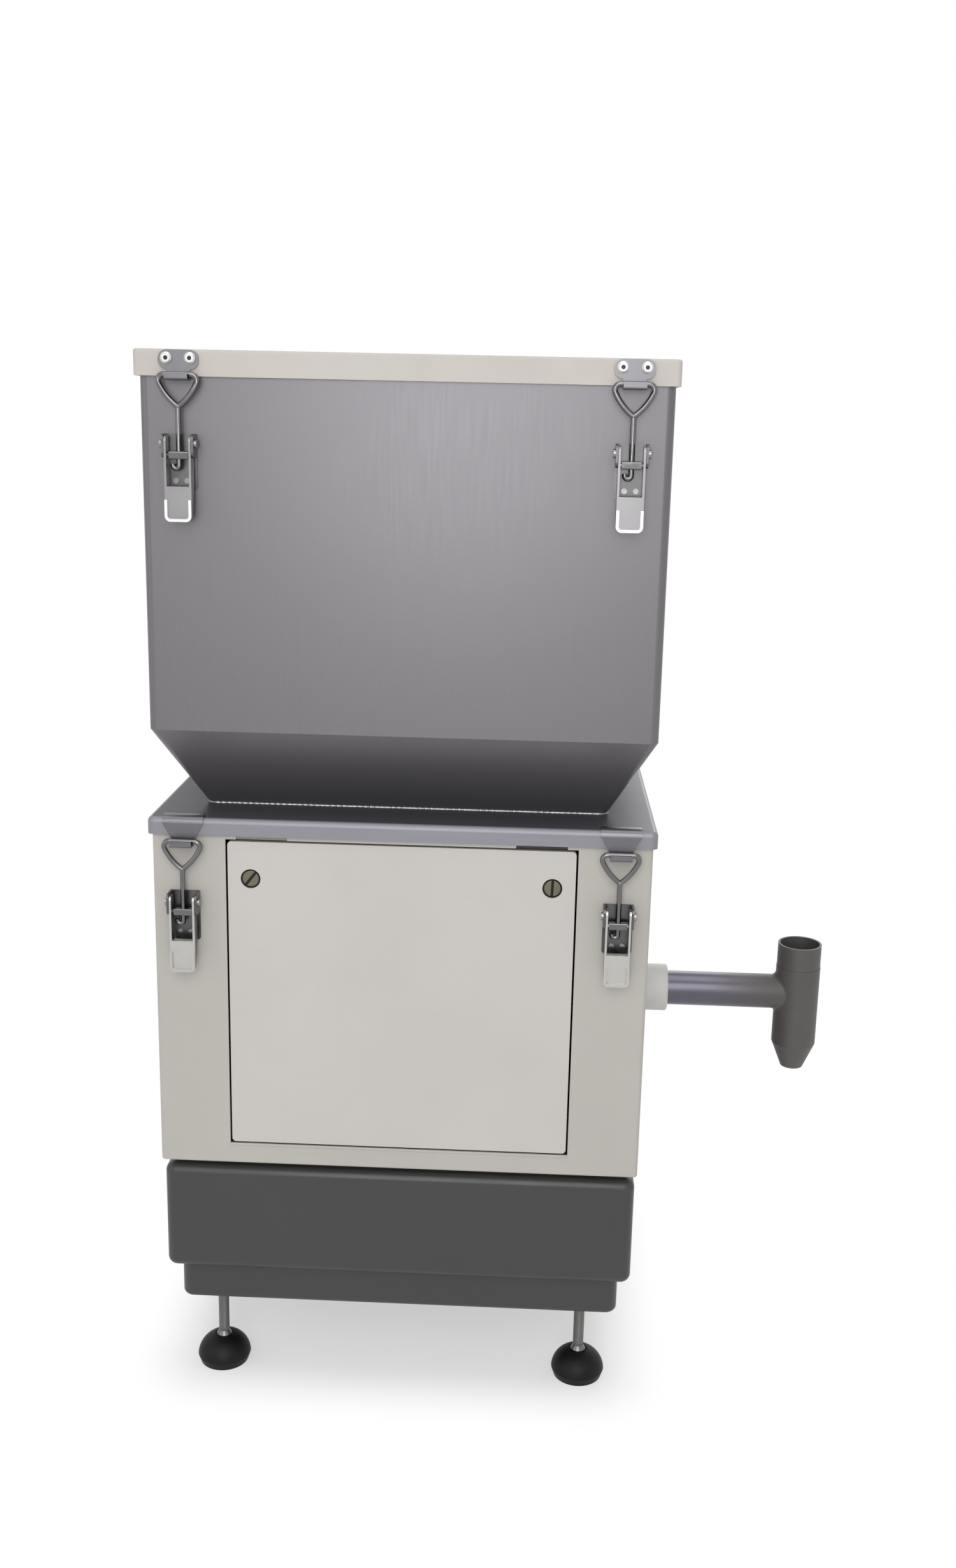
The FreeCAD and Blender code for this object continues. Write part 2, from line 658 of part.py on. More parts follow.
def signal_inlet():
    """Round multi-pin inlet on the rear wall."""
    rear = CABINET_DEPTH / 2
    middle = Vector(INLET_X, rear, INLET_Z)
    half = INLET_FLANGE / 2
    flange = block(
        (INLET_X - half, INLET_X + half), (rear, rear + INLET_FLANGE_THICK), (INLET_Z - half, INLET_Z + half)
    )
    flange = round_along(flange, Y_AXIS, INLET_FLANGE_ROUND)
    body = cylinder(INLET_RADIUS, middle - Y_AXIS * INLET_LENGTH, middle + Y_AXIS * INLET_LENGTH)
    mouth = middle + Y_AXIS * INLET_LENGTH
    bore = cylinder(INLET_BORE, mouth - Y_AXIS * INLET_DEPTH, mouth + Y_AXIS * OVERRUN)
    inlet = flange.fuse(body).cut(bore)
    pins = []
    for k in range(INLET_PINS):
        turn = 2 * math.pi * (k + 0.5) / INLET_PINS
        out = Vector(math.cos(turn), 0, math.sin(turn)) * INLET_PIN_CIRCLE
        foot = mouth - Y_AXIS * (INLET_DEPTH + OVERRUN) + out
        pins.append(cylinder(INLET_PIN_RADIUS, foot, foot + Y_AXIS * INLET_PIN_LENGTH))
    return inlet.fuse(pins)


# Cover plate, hopper and lid

def cover_size():
    """Outer width and depth of the cover plate."""
    return CABINET_WIDTH + 2 * COVER_OVERHANG, CABINET_DEPTH + 2 * COVER_OVERHANG


def cover_plate():
    """Cover with a rolled edge and a throat opening, which the hopper is welded on."""
    width, depth = cover_size()
    bottom = COVER_TOP - COVER_HEIGHT
    outer = round_along(centred(width, depth, bottom, COVER_TOP), Z_AXIS, COVER_ROUND)
    outer = round_at(outer, COVER_TOP, COVER_ROUND - ROUND_STEP)
    inside = centred(width - 2 * SHEET, depth - 2 * SHEET, bottom - OVERRUN, COVER_UNDER)
    inside = round_along(inside, Z_AXIS, COVER_ROUND - SHEET)
    inside = round_at(inside, COVER_UNDER, COVER_ROUND - SHEET - ROUND_STEP)
    throat = centred(THROAT_WIDTH - 2 * SHEET, THROAT_DEPTH - 2 * SHEET, bottom, COVER_TOP + OVERRUN)
    return outer.cut(inside).cut(throat)


def cover_gasket():
    """Flat seal between the cabinet's top flange and the cover."""
    inset = COVER_ROUND
    outer = centred(CABINET_WIDTH - 2 * inset, CABINET_DEPTH - 2 * inset, CABINET_TOP, COVER_UNDER)
    hole = centred(
        CABINET_WIDTH - 2 * TOP_FLANGE,
        CABINET_DEPTH - 2 * TOP_FLANGE,
        CABINET_TOP - OVERRUN,
        COVER_UNDER + OVERRUN,
    )
    return outer.cut(hole)


def hopper_solid(inset, overshoot):
    """The hopper's outline as a solid: a straight bin over a tapered throat."""
    corner = HOPPER_ROUND - inset
    bin_outline = rounded_outline(HOPPER_WIDTH - 2 * inset, HOPPER_DEPTH - 2 * inset, corner, HOPPER_KNEE)
    throat = rounded_outline(THROAT_WIDTH - 2 * inset, THROAT_DEPTH - 2 * inset, corner, COVER_TOP)
    taper = Part.makeLoft([throat, bin_outline], True, True)
    straight = Part.Face(bin_outline).extrude(Vector(0, 0, HOPPER_STRAIGHT + overshoot))
    solid = straight.fuse(taper)
    if overshoot:
        solid = solid.fuse(Part.Face(throat).extrude(Vector(0, 0, -overshoot)))
    return solid


def hopper_shell():
    """Welded sheet hopper, open at the top and at the throat."""
    return hopper_solid(0, 0).cut(hopper_solid(SHEET, OVERRUN)).removeSplitter()


def lid_size():
    """Outer width and depth of the lid."""
    return HOPPER_WIDTH + 2 * LID_OVERHANG, HOPPER_DEPTH + 2 * LID_OVERHANG


def lid():
    """Folded lid that drops over the hopper's rim."""
    width, depth = lid_size()
    bottom = LID_TOP - LID_HEIGHT
    outer = round_along(centred(width, depth, bottom, LID_TOP), Z_AXIS, LID_ROUND)
    outer = round_at(outer, LID_TOP, LID_ROUND - ROUND_STEP)
    inside = centred(width - 2 * SHEET, depth - 2 * SHEET, bottom - OVERRUN, LID_TOP - SHEET)
    return outer.cut(round_along(inside, Z_AXIS, LID_ROUND - SHEET))


def lid_seal():
    """Soft seal under the lid that the hopper's rim presses on."""
    width = HOPPER_WIDTH - 2 * LOOSE_GAP
    depth = HOPPER_DEPTH - 2 * LOOSE_GAP
    outer = round_along(centred(width, depth, HOPPER_TOP, LID_TOP - SHEET), Z_AXIS, HOPPER_ROUND)
    hole = centred(width - 2 * LID_SEAL_WIDTH, depth - 2 * LID_SEAL_WIDTH, HOPPER_TOP - OVERRUN, LID_TOP)
    return outer.cut(hole)


# Draw latches: u is across, n is out from the wall, w is up from the bail's bar

def latch_point(u, n, w):
    """A point of the latch frame, on a wall that faces -Y with the bar at the origin's height."""
    return Vector(u, -n, w)


PIVOT_N = BAR_OUT + OVER_CENTRE
TRUNNION_W = -STEM_LENGTH
PIVOT_W = TRUNNION_W + math.sqrt(CRANK ** 2 - OVER_CENTRE ** 2)
LEVER_HALF = LEVER_WIDTH / 2
EAR_INNER = LEVER_HALF + LOOSE_GAP
BASE_HALF = EAR_INNER + BASE_SHEET


def latch_box(u_range, n_range, w_range):
    """A box of the latch frame."""
    return block(u_range, (-n_range[1], -n_range[0]), w_range)


def bail_half():
    """Half of the bail's loop, from the middle of the bar to the fork, and the fork's height."""
    corner = Vector(BAR_HALF - LOOP_CORNER, -BAR_OUT, -LOOP_CORNER)

    def on_arc(centre, radius, degrees):
        turn = math.radians(degrees)
        return centre + Vector(math.cos(turn), 0, math.sin(turn)) * radius

    side = on_arc(corner, LOOP_CORNER - LOOP_SIDE_RADIUS, -LOOP_LEAN)
    last = -math.degrees(math.acos(-side.x / LOOP_SIDE_RADIUS))
    fork = on_arc(side, LOOP_SIDE_RADIUS, last)
    bar_end = on_arc(corner, LOOP_CORNER, 90)
    side_start = on_arc(corner, LOOP_CORNER, -LOOP_LEAN)
    path = Part.Wire([
        Part.LineSegment(latch_point(0, BAR_OUT, 0), bar_end).toShape(),
        Part.Arc(bar_end, on_arc(corner, LOOP_CORNER, 45 - LOOP_LEAN / 2), side_start).toShape(),
        Part.Arc(side_start, on_arc(side, LOOP_SIDE_RADIUS, (last - LOOP_LEAN) / 2), fork).toShape(),
    ])
    return wire_rod(path, WIRE_RADIUS), fork


def latch_bail():
    """Bail: a shield-shaped wire loop forked from a stem with a hooked tail, and its trunnion."""
    right, fork = bail_half()
    left = right.mirror(Vector(), X_AXIS)
    tail_end = TRUNNION_W - STEM_TAIL
    stem = rounded_path([
        fork,
        latch_point(0, BAR_OUT, tail_end),
        latch_point(-2 * TAIL_HOOK, BAR_OUT, tail_end),
        latch_point(-2 * TAIL_HOOK, BAR_OUT, tail_end + TAIL_HOOK + WIRE_RADIUS / 2),
    ], [TAIL_HOOK, TAIL_HOOK])
    crotch = Part.makeSphere(FORK_RADIUS, fork)
    wire = wire_rod(stem, WIRE_RADIUS).fuse([right, left, crotch]).removeSplitter()
    half = TRUNNION_SIZE / 2
    body = latch_box(
        (-TRUNNION_WIDTH / 2, TRUNNION_WIDTH / 2),
        (BAR_OUT - half, BAR_OUT + half),
        (TRUNNION_W - half, TRUNNION_W + half),
    )
    body = round_along(body, X_AXIS, TRUNNION_ROUND)
    pin_end = LEVER_HALF - LOOSE_GAP
    pins = cylinder(
        TRUNNION_PIN,
        latch_point(-pin_end, BAR_OUT, TRUNNION_W),
        latch_point(pin_end, BAR_OUT, TRUNNION_W),
    )
    bore = cylinder(
        WIRE_RADIUS + RUNNING_GAP,
        latch_point(0, BAR_OUT, TRUNNION_W - CRANK),
        latch_point(0, BAR_OUT, TRUNNION_W + CRANK),
    )
    return Part.makeCompound([wire, body.fuse(pins).cut(bore).removeSplitter()])


def handle_outline(half, n_range, bottom, top, radius):
    """A plate of the latch frame with its two lower corners rounded."""
    plate = latch_box((-half, half), n_range, (bottom, top))
    corners = [e for e in plate.Edges if runs_along(e, Y_AXIS) and lies_at(e, bottom)]
    return plate.makeFillet(radius, corners)


def handle_rim(face, bottom):
    """Raised rim round the end of the lever's handle."""
    top = bottom + HANDLE_RIM_LENGTH
    outer = handle_outline(LEVER_HALF, (face, face + HANDLE_RIM_RISE), bottom, top, HANDLE_ROUND)
    inner = handle_outline(
        LEVER_HALF - HANDLE_RIM,
        (face - OVERRUN, face + HANDLE_RIM_RISE + OVERRUN),
        bottom + HANDLE_RIM,
        top + OVERRUN,
        HANDLE_ROUND - HANDLE_RIM,
    )
    return outer.cut(inner)


def latch_lever():
    """Stamped channel lever: two flanges on the pivots, an open window and a rimmed handle."""
    top = PIVOT_W + LEVER_NOSE
    bottom = PIVOT_W - LEVER_LENGTH
    sill = PIVOT_W - LEVER_WINDOW
    outer_n = PIVOT_N + LEVER_NOSE - ROUND_STEP
    inner_n = outer_n - LEVER_FLANGE
    web_n = outer_n - LEVER_SHEET
    side = Part.makePolygon([
        latch_point(-LEVER_HALF, inner_n, top),
        latch_point(-LEVER_HALF, outer_n, top),
        latch_point(-LEVER_HALF, outer_n, bottom),
        latch_point(-LEVER_HALF, web_n, bottom),
        latch_point(-LEVER_HALF, inner_n, sill),
        latch_point(-LEVER_HALF, inner_n, top),
    ])
    channel = Part.Face(side).extrude(Vector(LEVER_WIDTH, 0, 0))
    nose = [e for e in channel.Edges if runs_along(e, X_AXIS) and lies_at(e, top)]
    channel = channel.makeFillet(LEVER_NOSE_ROUND, nose)
    depth = (inner_n - OVERRUN, outer_n + OVERRUN)
    channel = channel.common(handle_outline(LEVER_HALF, depth, bottom, top, HANDLE_ROUND))
    inner = LEVER_HALF - LEVER_SHEET
    hollow = latch_box((-inner, inner), (inner_n - OVERRUN, web_n), (bottom - OVERRUN, top + OVERRUN))
    window = latch_box((-inner, inner), (web_n - OVERRUN, outer_n + OVERRUN), (sill, top + OVERRUN))
    lever = channel.cut(hollow).cut(window).fuse(handle_rim(outer_n, bottom))
    holes = [(PIVOT_RADIUS, PIVOT_N, PIVOT_W), (TRUNNION_PIN, BAR_OUT, TRUNNION_W)]
    for radius, n, w in holes:
        ends = (latch_point(-LEVER_WIDTH, n, w), latch_point(LEVER_WIDTH, n, w))
        lever = lever.cut(cylinder(radius + RUNNING_GAP, *ends))
    return lever.removeSplitter()


def latch_base():
    """Base plate with the two ears that carry the lever's pivots."""
    top = PIVOT_W + BASE_ABOVE_PIVOT
    plate = latch_box((-BASE_HALF, BASE_HALF), (0, BASE_SHEET), (top - BASE_HEIGHT, top))
    plate = round_along(plate, Y_AXIS, BASE_ROUND)
    ears = []
    for side in (-1, 1):
        limits = sorted((side * EAR_INNER, side * BASE_HALF))
        ear = latch_box(limits, (0, PIVOT_N + EAR_ROUND), (top - EAR_HEIGHT, top))
        tips = [
            e for e in ear.Edges
            if runs_along(e, X_AXIS) and abs(e.CenterOfMass.y + PIVOT_N + EAR_ROUND) < CLOSE
        ]
        ears.append(ear.makeFillet(EAR_ROUND - ROUND_STEP, tips))
    base = plate.fuse(ears)
    ends = (latch_point(-2 * BASE_HALF, PIVOT_N, PIVOT_W), latch_point(2 * BASE_HALF, PIVOT_N, PIVOT_W))
    return base.cut(cylinder(PIVOT_RADIUS, *ends)).removeSplitter()


def latch_pins():
    """Two headed pivot pins, one in each ear, clear of the bail's stem."""
    pins = []
    for side in (-1, 1):
        inner = latch_point(side * (LEVER_HALF - LEVER_SHEET), PIVOT_N, PIVOT_W)
        ear = latch_point(side * BASE_HALF, PIVOT_N, PIVOT_W)
        end = latch_point(side * (BASE_HALF + PIVOT_HEAD_THICK), PIVOT_N, PIVOT_W)
        pins.append(cylinder(PIVOT_RADIUS, inner, ear).fuse(cylinder(PIVOT_HEAD, ear, end)).removeSplitter())
    return pins


def latch_rivets():
    """Heads of the rivets that hold the base to the wall."""
    level = PIVOT_W + BASE_ABOVE_PIVOT - BASE_HEIGHT + RIVET_RISE
    rivets = []
    for u in (-RIVET_SPACING / 2, RIVET_SPACING / 2):
        rivets.append(cylinder(
            RIVET_RADIUS, latch_point(u, BASE_SHEET, level), latch_point(u, BASE_SHEET + RIVET_HEIGHT, level)
        ))
    return rivets


def keeper_hook(face_n):
    """J-shaped hook under the bail's bar, as wide as the loop lets it be."""
    half = KEEPER_HOOK_WIDTH / 2
    floor_top = -WIRE_RADIUS - LOOSE_GAP
    front_in = BAR_OUT + WIRE_RADIUS + KEEPER_FRONT_GAP
    front_out = front_in + KEEPER_SHEET
    back = latch_box((-half, half), (face_n, face_n + KEEPER_SHEET), (floor_top - KEEPER_SHEET, WIRE_RADIUS))
    floor = latch_box((-half, half), (face_n, front_out), (floor_top - KEEPER_SHEET, floor_top))
    lip = latch_box((-half, half), (front_in, front_out), (floor_top - KEEPER_SHEET, floor_top + KEEPER_LIP))
    hook = back.fuse([floor, lip]).removeSplitter()
    bend = [
        e for e in hook.Edges
        if runs_along(e, X_AXIS)
        and abs(e.CenterOfMass.y + front_out) < CLOSE
        and abs(e.CenterOfMass.z - floor_top + KEEPER_SHEET) < CLOSE
    ]
    return hook.makeFillet(KEEPER_SHEET - RUNNING_GAP, bend)


def lid_keeper():
    """Keeper for the lid: an oval screw plate over the hook."""
    half = LID_KEEPER_WIDTH / 2
    plate = latch_box(
        (-half, half),
        (LID_OVERHANG, LID_OVERHANG + KEEPER_SHEET),
        (WIRE_RADIUS + KEEPER_SHEET, LID_KEEPER_RISE),
    )
    plate = round_along(plate, Y_AXIS, LID_KEEPER_ROUND)
    neck_half = KEEPER_HOOK_WIDTH / 2
    neck = latch_box(
        (-neck_half, neck_half), (LID_OVERHANG, LID_OVERHANG + KEEPER_SHEET), (0, LID_KEEPER_RISE / 2)
    )
    keeper = plate.fuse([neck, keeper_hook(LID_OVERHANG)])
    for u in (-KEEPER_SCREW_SPACING / 2, KEEPER_SCREW_SPACING / 2):
        ends = (latch_point(u, 0, KEEPER_SCREW_RISE), latch_point(u, 2 * BAR_OUT, KEEPER_SCREW_RISE))
        keeper = keeper.cut(cylinder(KEEPER_SCREW_SHANK + RUNNING_GAP, *ends))
    return keeper.removeSplitter()


def keeper_screws():
    """Two button-head screws through the lid's keeper, with their driver sockets."""
    face = LID_OVERHANG + KEEPER_SHEET
    screws = []
    for u in (-KEEPER_SCREW_SPACING / 2, KEEPER_SCREW_SPACING / 2):
        seat = latch_point(u, face, KEEPER_SCREW_RISE)
        crown = latch_point(u, face + KEEPER_SCREW_HEAD, KEEPER_SCREW_RISE)
        head = cylinder(KEEPER_SCREW_RADIUS, seat, crown)
        rim = [e for e in head.Edges if abs(e.BoundBox.YMax - crown.y) < CLOSE]
        head = head.makeChamfer(KEEPER_SCREW_HEAD / 2, rim)
        socket_floor = latch_point(u, face + SOCKET_FLOOR, KEEPER_SCREW_RISE)
        socket = cylinder(SOCKET_RADIUS, socket_floor, crown - Y_AXIS * OVERRUN)
        shank = cylinder(KEEPER_SCREW_SHANK, latch_point(u, LID_OVERHANG, KEEPER_SCREW_RISE), seat)
        screws.append(head.cut(socket).fuse(shank).removeSplitter())
    return screws


def cover_keeper():
    """Keeper for the cover: a plate wrapped over the rolled edge, drawn in towards the hook."""
    face = COVER_OVERHANG
    top = CABINET_BAR_BELOW_TOP
    roll = COVER_ROUND - ROUND_STEP
    outer = roll + KEEPER_SHEET
    bend = math.sqrt(0.5)

    def at(n, w):
        return latch_point(-COVER_KEEPER_WIDTH / 2, n, w)

    corners = [
        at(face, top - roll), at(face, 0), at(face + KEEPER_SHEET, 0), at(face + KEEPER_SHEET, top - roll),
    ]
    tops = [
        at(face - roll, top + KEEPER_SHEET), at(face - roll - COVER_KEEPER_TAB, top + KEEPER_SHEET),
        at(face - roll - COVER_KEEPER_TAB, top), at(face - roll, top),
    ]
    edges = [Part.LineSegment(a, b).toShape() for a, b in zip(corners, corners[1:])]
    edges += [Part.LineSegment(a, b).toShape() for a, b in zip(tops, tops[1:])]
    for radius, ends in ((outer, (corners[3], tops[0])), (roll, (tops[3], corners[0]))):
        middle = at(face - roll + radius * bend, top - roll + radius * bend)
        edges.append(Part.Arc(ends[0], middle, ends[1]).toShape())
    strip = Part.Face(Part.Wire(Part.__sortEdges__(edges))).extrude(Vector(COVER_KEEPER_WIDTH, 0, 0))
    half = COVER_KEEPER_WIDTH / 2
    neck = KEEPER_HOOK_WIDTH / 2
    far = face + 2 * outer
    outline = Part.makePolygon([
        Vector(-neck, -far, 0), Vector(neck, -far, 0), Vector(half, -far, top - roll),
        Vector(half, -far, top + outer), Vector(-half, -far, top + outer), Vector(-half, -far, top - roll),
        Vector(-neck, -far, 0),
    ])
    plate = strip.common(Part.Face(outline).extrude(Vector(0, 4 * far, 0)))
    return plate.fuse(keeper_hook(COVER_OVERHANG)).removeSplitter()


def latch_places():
    """Name, place of the bar's middle and rear flag of every latch, hopper latches first."""
    levels = {
        "hopper": (HOPPER_WIDTH / 2 - LATCH_HOPPER_INSET, LID_TOP - HOPPER_BAR_BELOW_TOP, HOPPER_DEPTH / 2),
        "cabinet": (RIGHT_X - LATCH_CABINET_INSET, COVER_TOP - CABINET_BAR_BELOW_TOP, CABINET_DEPTH / 2),
    }
    places = {}
    for group, (x, z, wall) in levels.items():
        for name, side, rear in (("front_left", -1, False), ("front_right", 1, False),
                                 ("rear_left", 1, True), ("rear_right", -1, True)):
            places[group + "_" + name] = (Vector(side * x, -wall, z), rear)
    return places


def put_latch_piece(shape, place, rear):
    """Moves a latch piece from its own frame to a place on the machine."""
    copy = shape.copy()
    copy.translate(place)
    return half_turn(copy) if rear else copy


def latch_group(prefix, shapes):
    """Copies of pieces that stay put, on every latch of the hopper or of the cabinet."""
    return Part.makeCompound([
        put_latch_piece(shape, place, rear)
        for name, (place, rear) in latch_places().items() if name.startswith(prefix)
        for shape in shapes
    ])


# Trough and discharge line

def trough_solid(inset, half_length, top):
    """The trough's outline as a solid: sloping sides on a round bottom."""
    radius = TROUGH_RADIUS - inset
    half_top = THROAT_DEPTH / 2 - inset
    slope = (half_top - radius) / (COVER_UNDER - SCREW_AXIS_Z)
    upper = half_top + slope * (top - COVER_UNDER)
    corners = [
        Vector(-half_length, radius, SCREW_AXIS_Z),
        Vector(-half_length, upper, top),
        Vector(-half_length, -upper, top),
        Vector(-half_length, -radius, SCREW_AXIS_Z),
    ]
    edges = [Part.LineSegment(a, b).toShape() for a, b in zip(corners, corners[1:])]
    lowest = Vector(-half_length, 0, SCREW_AXIS_Z - radius)
    edges.append(Part.Arc(corners[3], lowest, corners[0]).toShape())
    profile = Part.Wire(edges)
    return Part.Face(profile).extrude(Vector(2 * half_length, 0, 0))


def feed_trough():
    """Trough under the throat, with a flange against the cover and bored end walls."""
    half = TROUGH_HALF_LENGTH
    flange = centred(
        2 * (half + TROUGH_FLANGE), THROAT_DEPTH + 2 * TROUGH_FLANGE, COVER_UNDER - SHEET, COVER_UNDER
    )
    outer = trough_solid(0, half, COVER_UNDER).fuse(flange)
    trough = outer.cut(trough_solid(SHEET, half - SHEET, COVER_UNDER + OVERRUN))
    far = half + TROUGH_FLANGE
    outlet = cylinder(TUBE_RADIUS - TUBE_WALL, Vector(0, 0, SCREW_AXIS_Z), Vector(far, 0, SCREW_AXIS_Z))
    shaft = AUGER_SHAFT_RADIUS + LOOSE_GAP
    rear = cylinder(shaft, Vector(-far, 0, SCREW_AXIS_Z), Vector(0, 0, SCREW_AXIS_Z))
    across = cylinder(shaft, Vector(-far, 0, AGITATOR_AXIS_Z), Vector(far, 0, AGITATOR_AXIS_Z))
    return trough.cut(outlet).cut(rear).cut(across)


def discharge_tee():
    """Side tube welded into an upright tee with a tapered spout and a turned spigot on top."""
    start = Vector(TROUGH_HALF_LENGTH, 0, SCREW_AXIS_Z)
    end = Vector(TEE_X, 0, SCREW_AXIS_Z)
    bore = TUBE_RADIUS - TUBE_WALL
    tee_bore = TEE_RADIUS - TUBE_WALL
    neck = SPOUT_RADIUS - SPOUT_WALL
    flange = cylinder(TUBE_FLANGE_RADIUS, start, start + X_AXIS * TUBE_FLANGE_THICK)
    shoulder = TEE_BOTTOM + SPOUT_HEIGHT
    spigot = TEE_TOP - SPIGOT_HEIGHT
    upright = revolve([
        (0, TEE_BOTTOM), (SPOUT_RADIUS, TEE_BOTTOM), (TEE_RADIUS, shoulder),
        (TEE_RADIUS, spigot), (SPIGOT_RADIUS, spigot), (SPIGOT_RADIUS, TEE_TOP), (0, TEE_TOP),
    ])
    inside = revolve([
        (0, TEE_BOTTOM - OVERRUN), (neck, TEE_BOTTOM - OVERRUN), (neck, TEE_BOTTOM),
        (tee_bore, shoulder + OVERRUN), (tee_bore, TEE_TOP + OVERRUN), (0, TEE_TOP + OVERRUN),
    ])
    for shape in (upright, inside):
        shape.translate(Vector(TEE_X, 0, 0))
    outer = cylinder(TUBE_RADIUS, start, end).fuse([flange, upright]).removeSplitter()
    weld = [
        e for e in outer.Edges
        if e.BoundBox.XMin > TEE_X - TEE_RADIUS - OVERRUN
        and e.BoundBox.ZMin > shoulder + OVERRUN
        and e.BoundBox.ZMax < spigot - OVERRUN
    ]
    outer = outer.makeFillet(TEE_WELD, weld)
    return outer.cut(inside).cut(cylinder(bore, start - X_AXIS * OVERRUN, end)).removeSplitter()


def outlet_collar():
    """Collar that clamps the tube where it leaves the cabinet."""
    start = Vector(RIGHT_X, 0, SCREW_AXIS_Z)
    end = Vector(COLLAR_END, 0, SCREW_AXIS_Z)
    ring = cylinder(COLLAR_RADIUS, start, end)
    rim = [e for e in ring.Edges if abs(e.BoundBox.XMin - COLLAR_END) < CLOSE]
    ring = ring.makeChamfer(COLLAR_BEVEL, rim)
    return ring.cut(cylinder(TUBE_RADIUS + RUNNING_GAP, start - X_AXIS * OVERRUN, end + X_AXIS * OVERRUN))


# Auger, agitator and drive

def auger_flight(length):
    """Helical blade about the Z axis, swept along a helix at its middle radius."""
    inner = AUGER_SHAFT_RADIUS - AUGER_ROOT
    half = AUGER_FLIGHT / 2
    helix = Part.makeHelix(AUGER_PITCH, length, (inner + AUGER_RADIUS) / 2)
    section = Part.makePolygon([
        Vector(inner, 0, -half), Vector(AUGER_RADIUS, 0, -half), Vector(AUGER_RADIUS, 0, half),
        Vector(inner, 0, half), Vector(inner, 0, -half),
    ])
    return Part.Wire(helix.Edges).makePipeShell([section], True, True)


def auger():
    """Auger: a helical flight wound on its shaft, through the trough and the tube."""
    first = -TROUGH_HALF_LENGTH + SHEET + AUGER_START_GAP
    length = TEE_X - AUGER_TIP_GAP - first
    tail = GEAR_X - first - LOOSE_GAP
    shaft = Part.makeCylinder(AUGER_SHAFT_RADIUS, length + AUGER_FLIGHT - tail, Vector(0, 0, tail))
    screw = shaft.fuse(auger_flight(length))
    screw.rotate(Vector(), Y_AXIS, 90)
    screw.translate(Vector(first, 0, SCREW_AXIS_Z))
    return screw


def agitator():
    """Agitator: a shaft with arms that carry two wiper bars."""
    middle = Vector(0, 0, AGITATOR_AXIS_Z)
    far = TROUGH_HALF_LENGTH + BUSH_LENGTH
    shaft = cylinder(
        AUGER_SHAFT_RADIUS, middle + Vector(GEAR_X - LOOSE_GAP, 0, 0), middle + Vector(far, 0, 0)
    )
    reach = AGITATOR_RADIUS - AGITATOR_BAR_RADIUS
    pieces = []
    for k in range(AGITATOR_ARMS):
        x = AGITATOR_ARM_SPACING * (k - (AGITATOR_ARMS - 1) / 2)
        pieces.append(cylinder(
            AGITATOR_BAR_RADIUS, middle + Vector(x, -reach, 0), middle + Vector(x, reach, 0)
        ))
    bar_end = AGITATOR_ARM_SPACING * (AGITATOR_ARMS - 1) / 2 + 2 * AGITATOR_BAR_RADIUS
    for y in (-reach, reach):
        pieces.append(cylinder(
            AGITATOR_BAR_RADIUS, middle + Vector(-bar_end, y, 0), middle + Vector(bar_end, y, 0)
        ))
    return shaft.fuse(pieces).removeSplitter()


def shaft_bushes():
    """Flanged bushes outside the trough's end walls."""
    bushes = []
    for side, level in ((-1, SCREW_AXIS_Z), (-1, AGITATOR_AXIS_Z), (1, AGITATOR_AXIS_Z)):
        start = Vector(side * TROUGH_HALF_LENGTH, 0, level)
        end = Vector(side * (TROUGH_HALF_LENGTH + BUSH_LENGTH), 0, level)
        ring = cylinder(BUSH_RADIUS, start, end)
        bushes.append(ring.cut(cylinder(AUGER_SHAFT_RADIUS + RUNNING_GAP, start, end)))
    return Part.makeCompound(bushes)


def involute(base, radius):
    """Angle that an involute has turned through at a radius."""
    spread = math.sqrt(max((radius / base) ** 2 - 1, 0))
    return spread - math.atan(spread)


def gear(teeth, bore, first_tooth):
    """Spur gear about the X axis, with a tooth centred at an angle from +Y towards +Z."""
    pitch = GEAR_MODULE * teeth / 2
    base = pitch * math.cos(math.radians(PRESSURE_ANGLE))
    root = pitch - GEAR_DEDENDUM * GEAR_MODULE
    tip = pitch + GEAR_ADDENDUM * GEAR_MODULE
    start = max(base, root)
    half_tooth = math.pi / (2 * teeth) - GEAR_BACKLASH / (2 * pitch) + involute(base, pitch)
    radii = [start, (start + tip) / 2, tip]

    def at(radius, angle):
        return Vector(0, radius * math.cos(angle), radius * math.sin(angle))

    edges = []
    step = 2 * math.pi / teeth
    for k in range(teeth):
        centre = math.radians(first_tooth) + k * step
        rise = [at(r, centre - half_tooth + involute(base, r)) for r in radii]
        fall = [at(r, centre + half_tooth - involute(base, r)) for r in reversed(radii)]
        foot_in = at(root, centre - half_tooth)
        foot_out = at(root, centre + half_tooth)
        next_in = at(root, centre + step - half_tooth)
        edges.append(Part.Arc(*rise).toShape())
        edges.append(Part.Arc(*fall).toShape())
        edges.append(Part.Arc(rise[-1], at(tip, centre), fall[0]).toShape())
        if start > root:
            edges.append(Part.LineSegment(foot_in, rise[0]).toShape())
            edges.append(Part.LineSegment(fall[-1], foot_out).toShape())
        edges.append(Part.Arc(foot_out, at(root, centre + step / 2), next_in).toShape())
    outline = Part.Wire(Part.__sortEdges__(edges))
    blank = Part.Face(outline).extrude(Vector(GEAR_WIDTH, 0, 0))
    if bore:
        blank = blank.cut(cylinder(bore, Vector(-OVERRUN, 0, 0), Vector(GEAR_WIDTH + OVERRUN, 0, 0)))
    return blank


def auger_gear():
    """Gear on the auger's shaft, with a tooth down towards the pinion."""
    shape = gear(AUGER_TEETH, AUGER_SHAFT_RADIUS + RUNNING_GAP, -90)
    shape.translate(Vector(GEAR_X, 0, SCREW_AXIS_Z))
    return shape


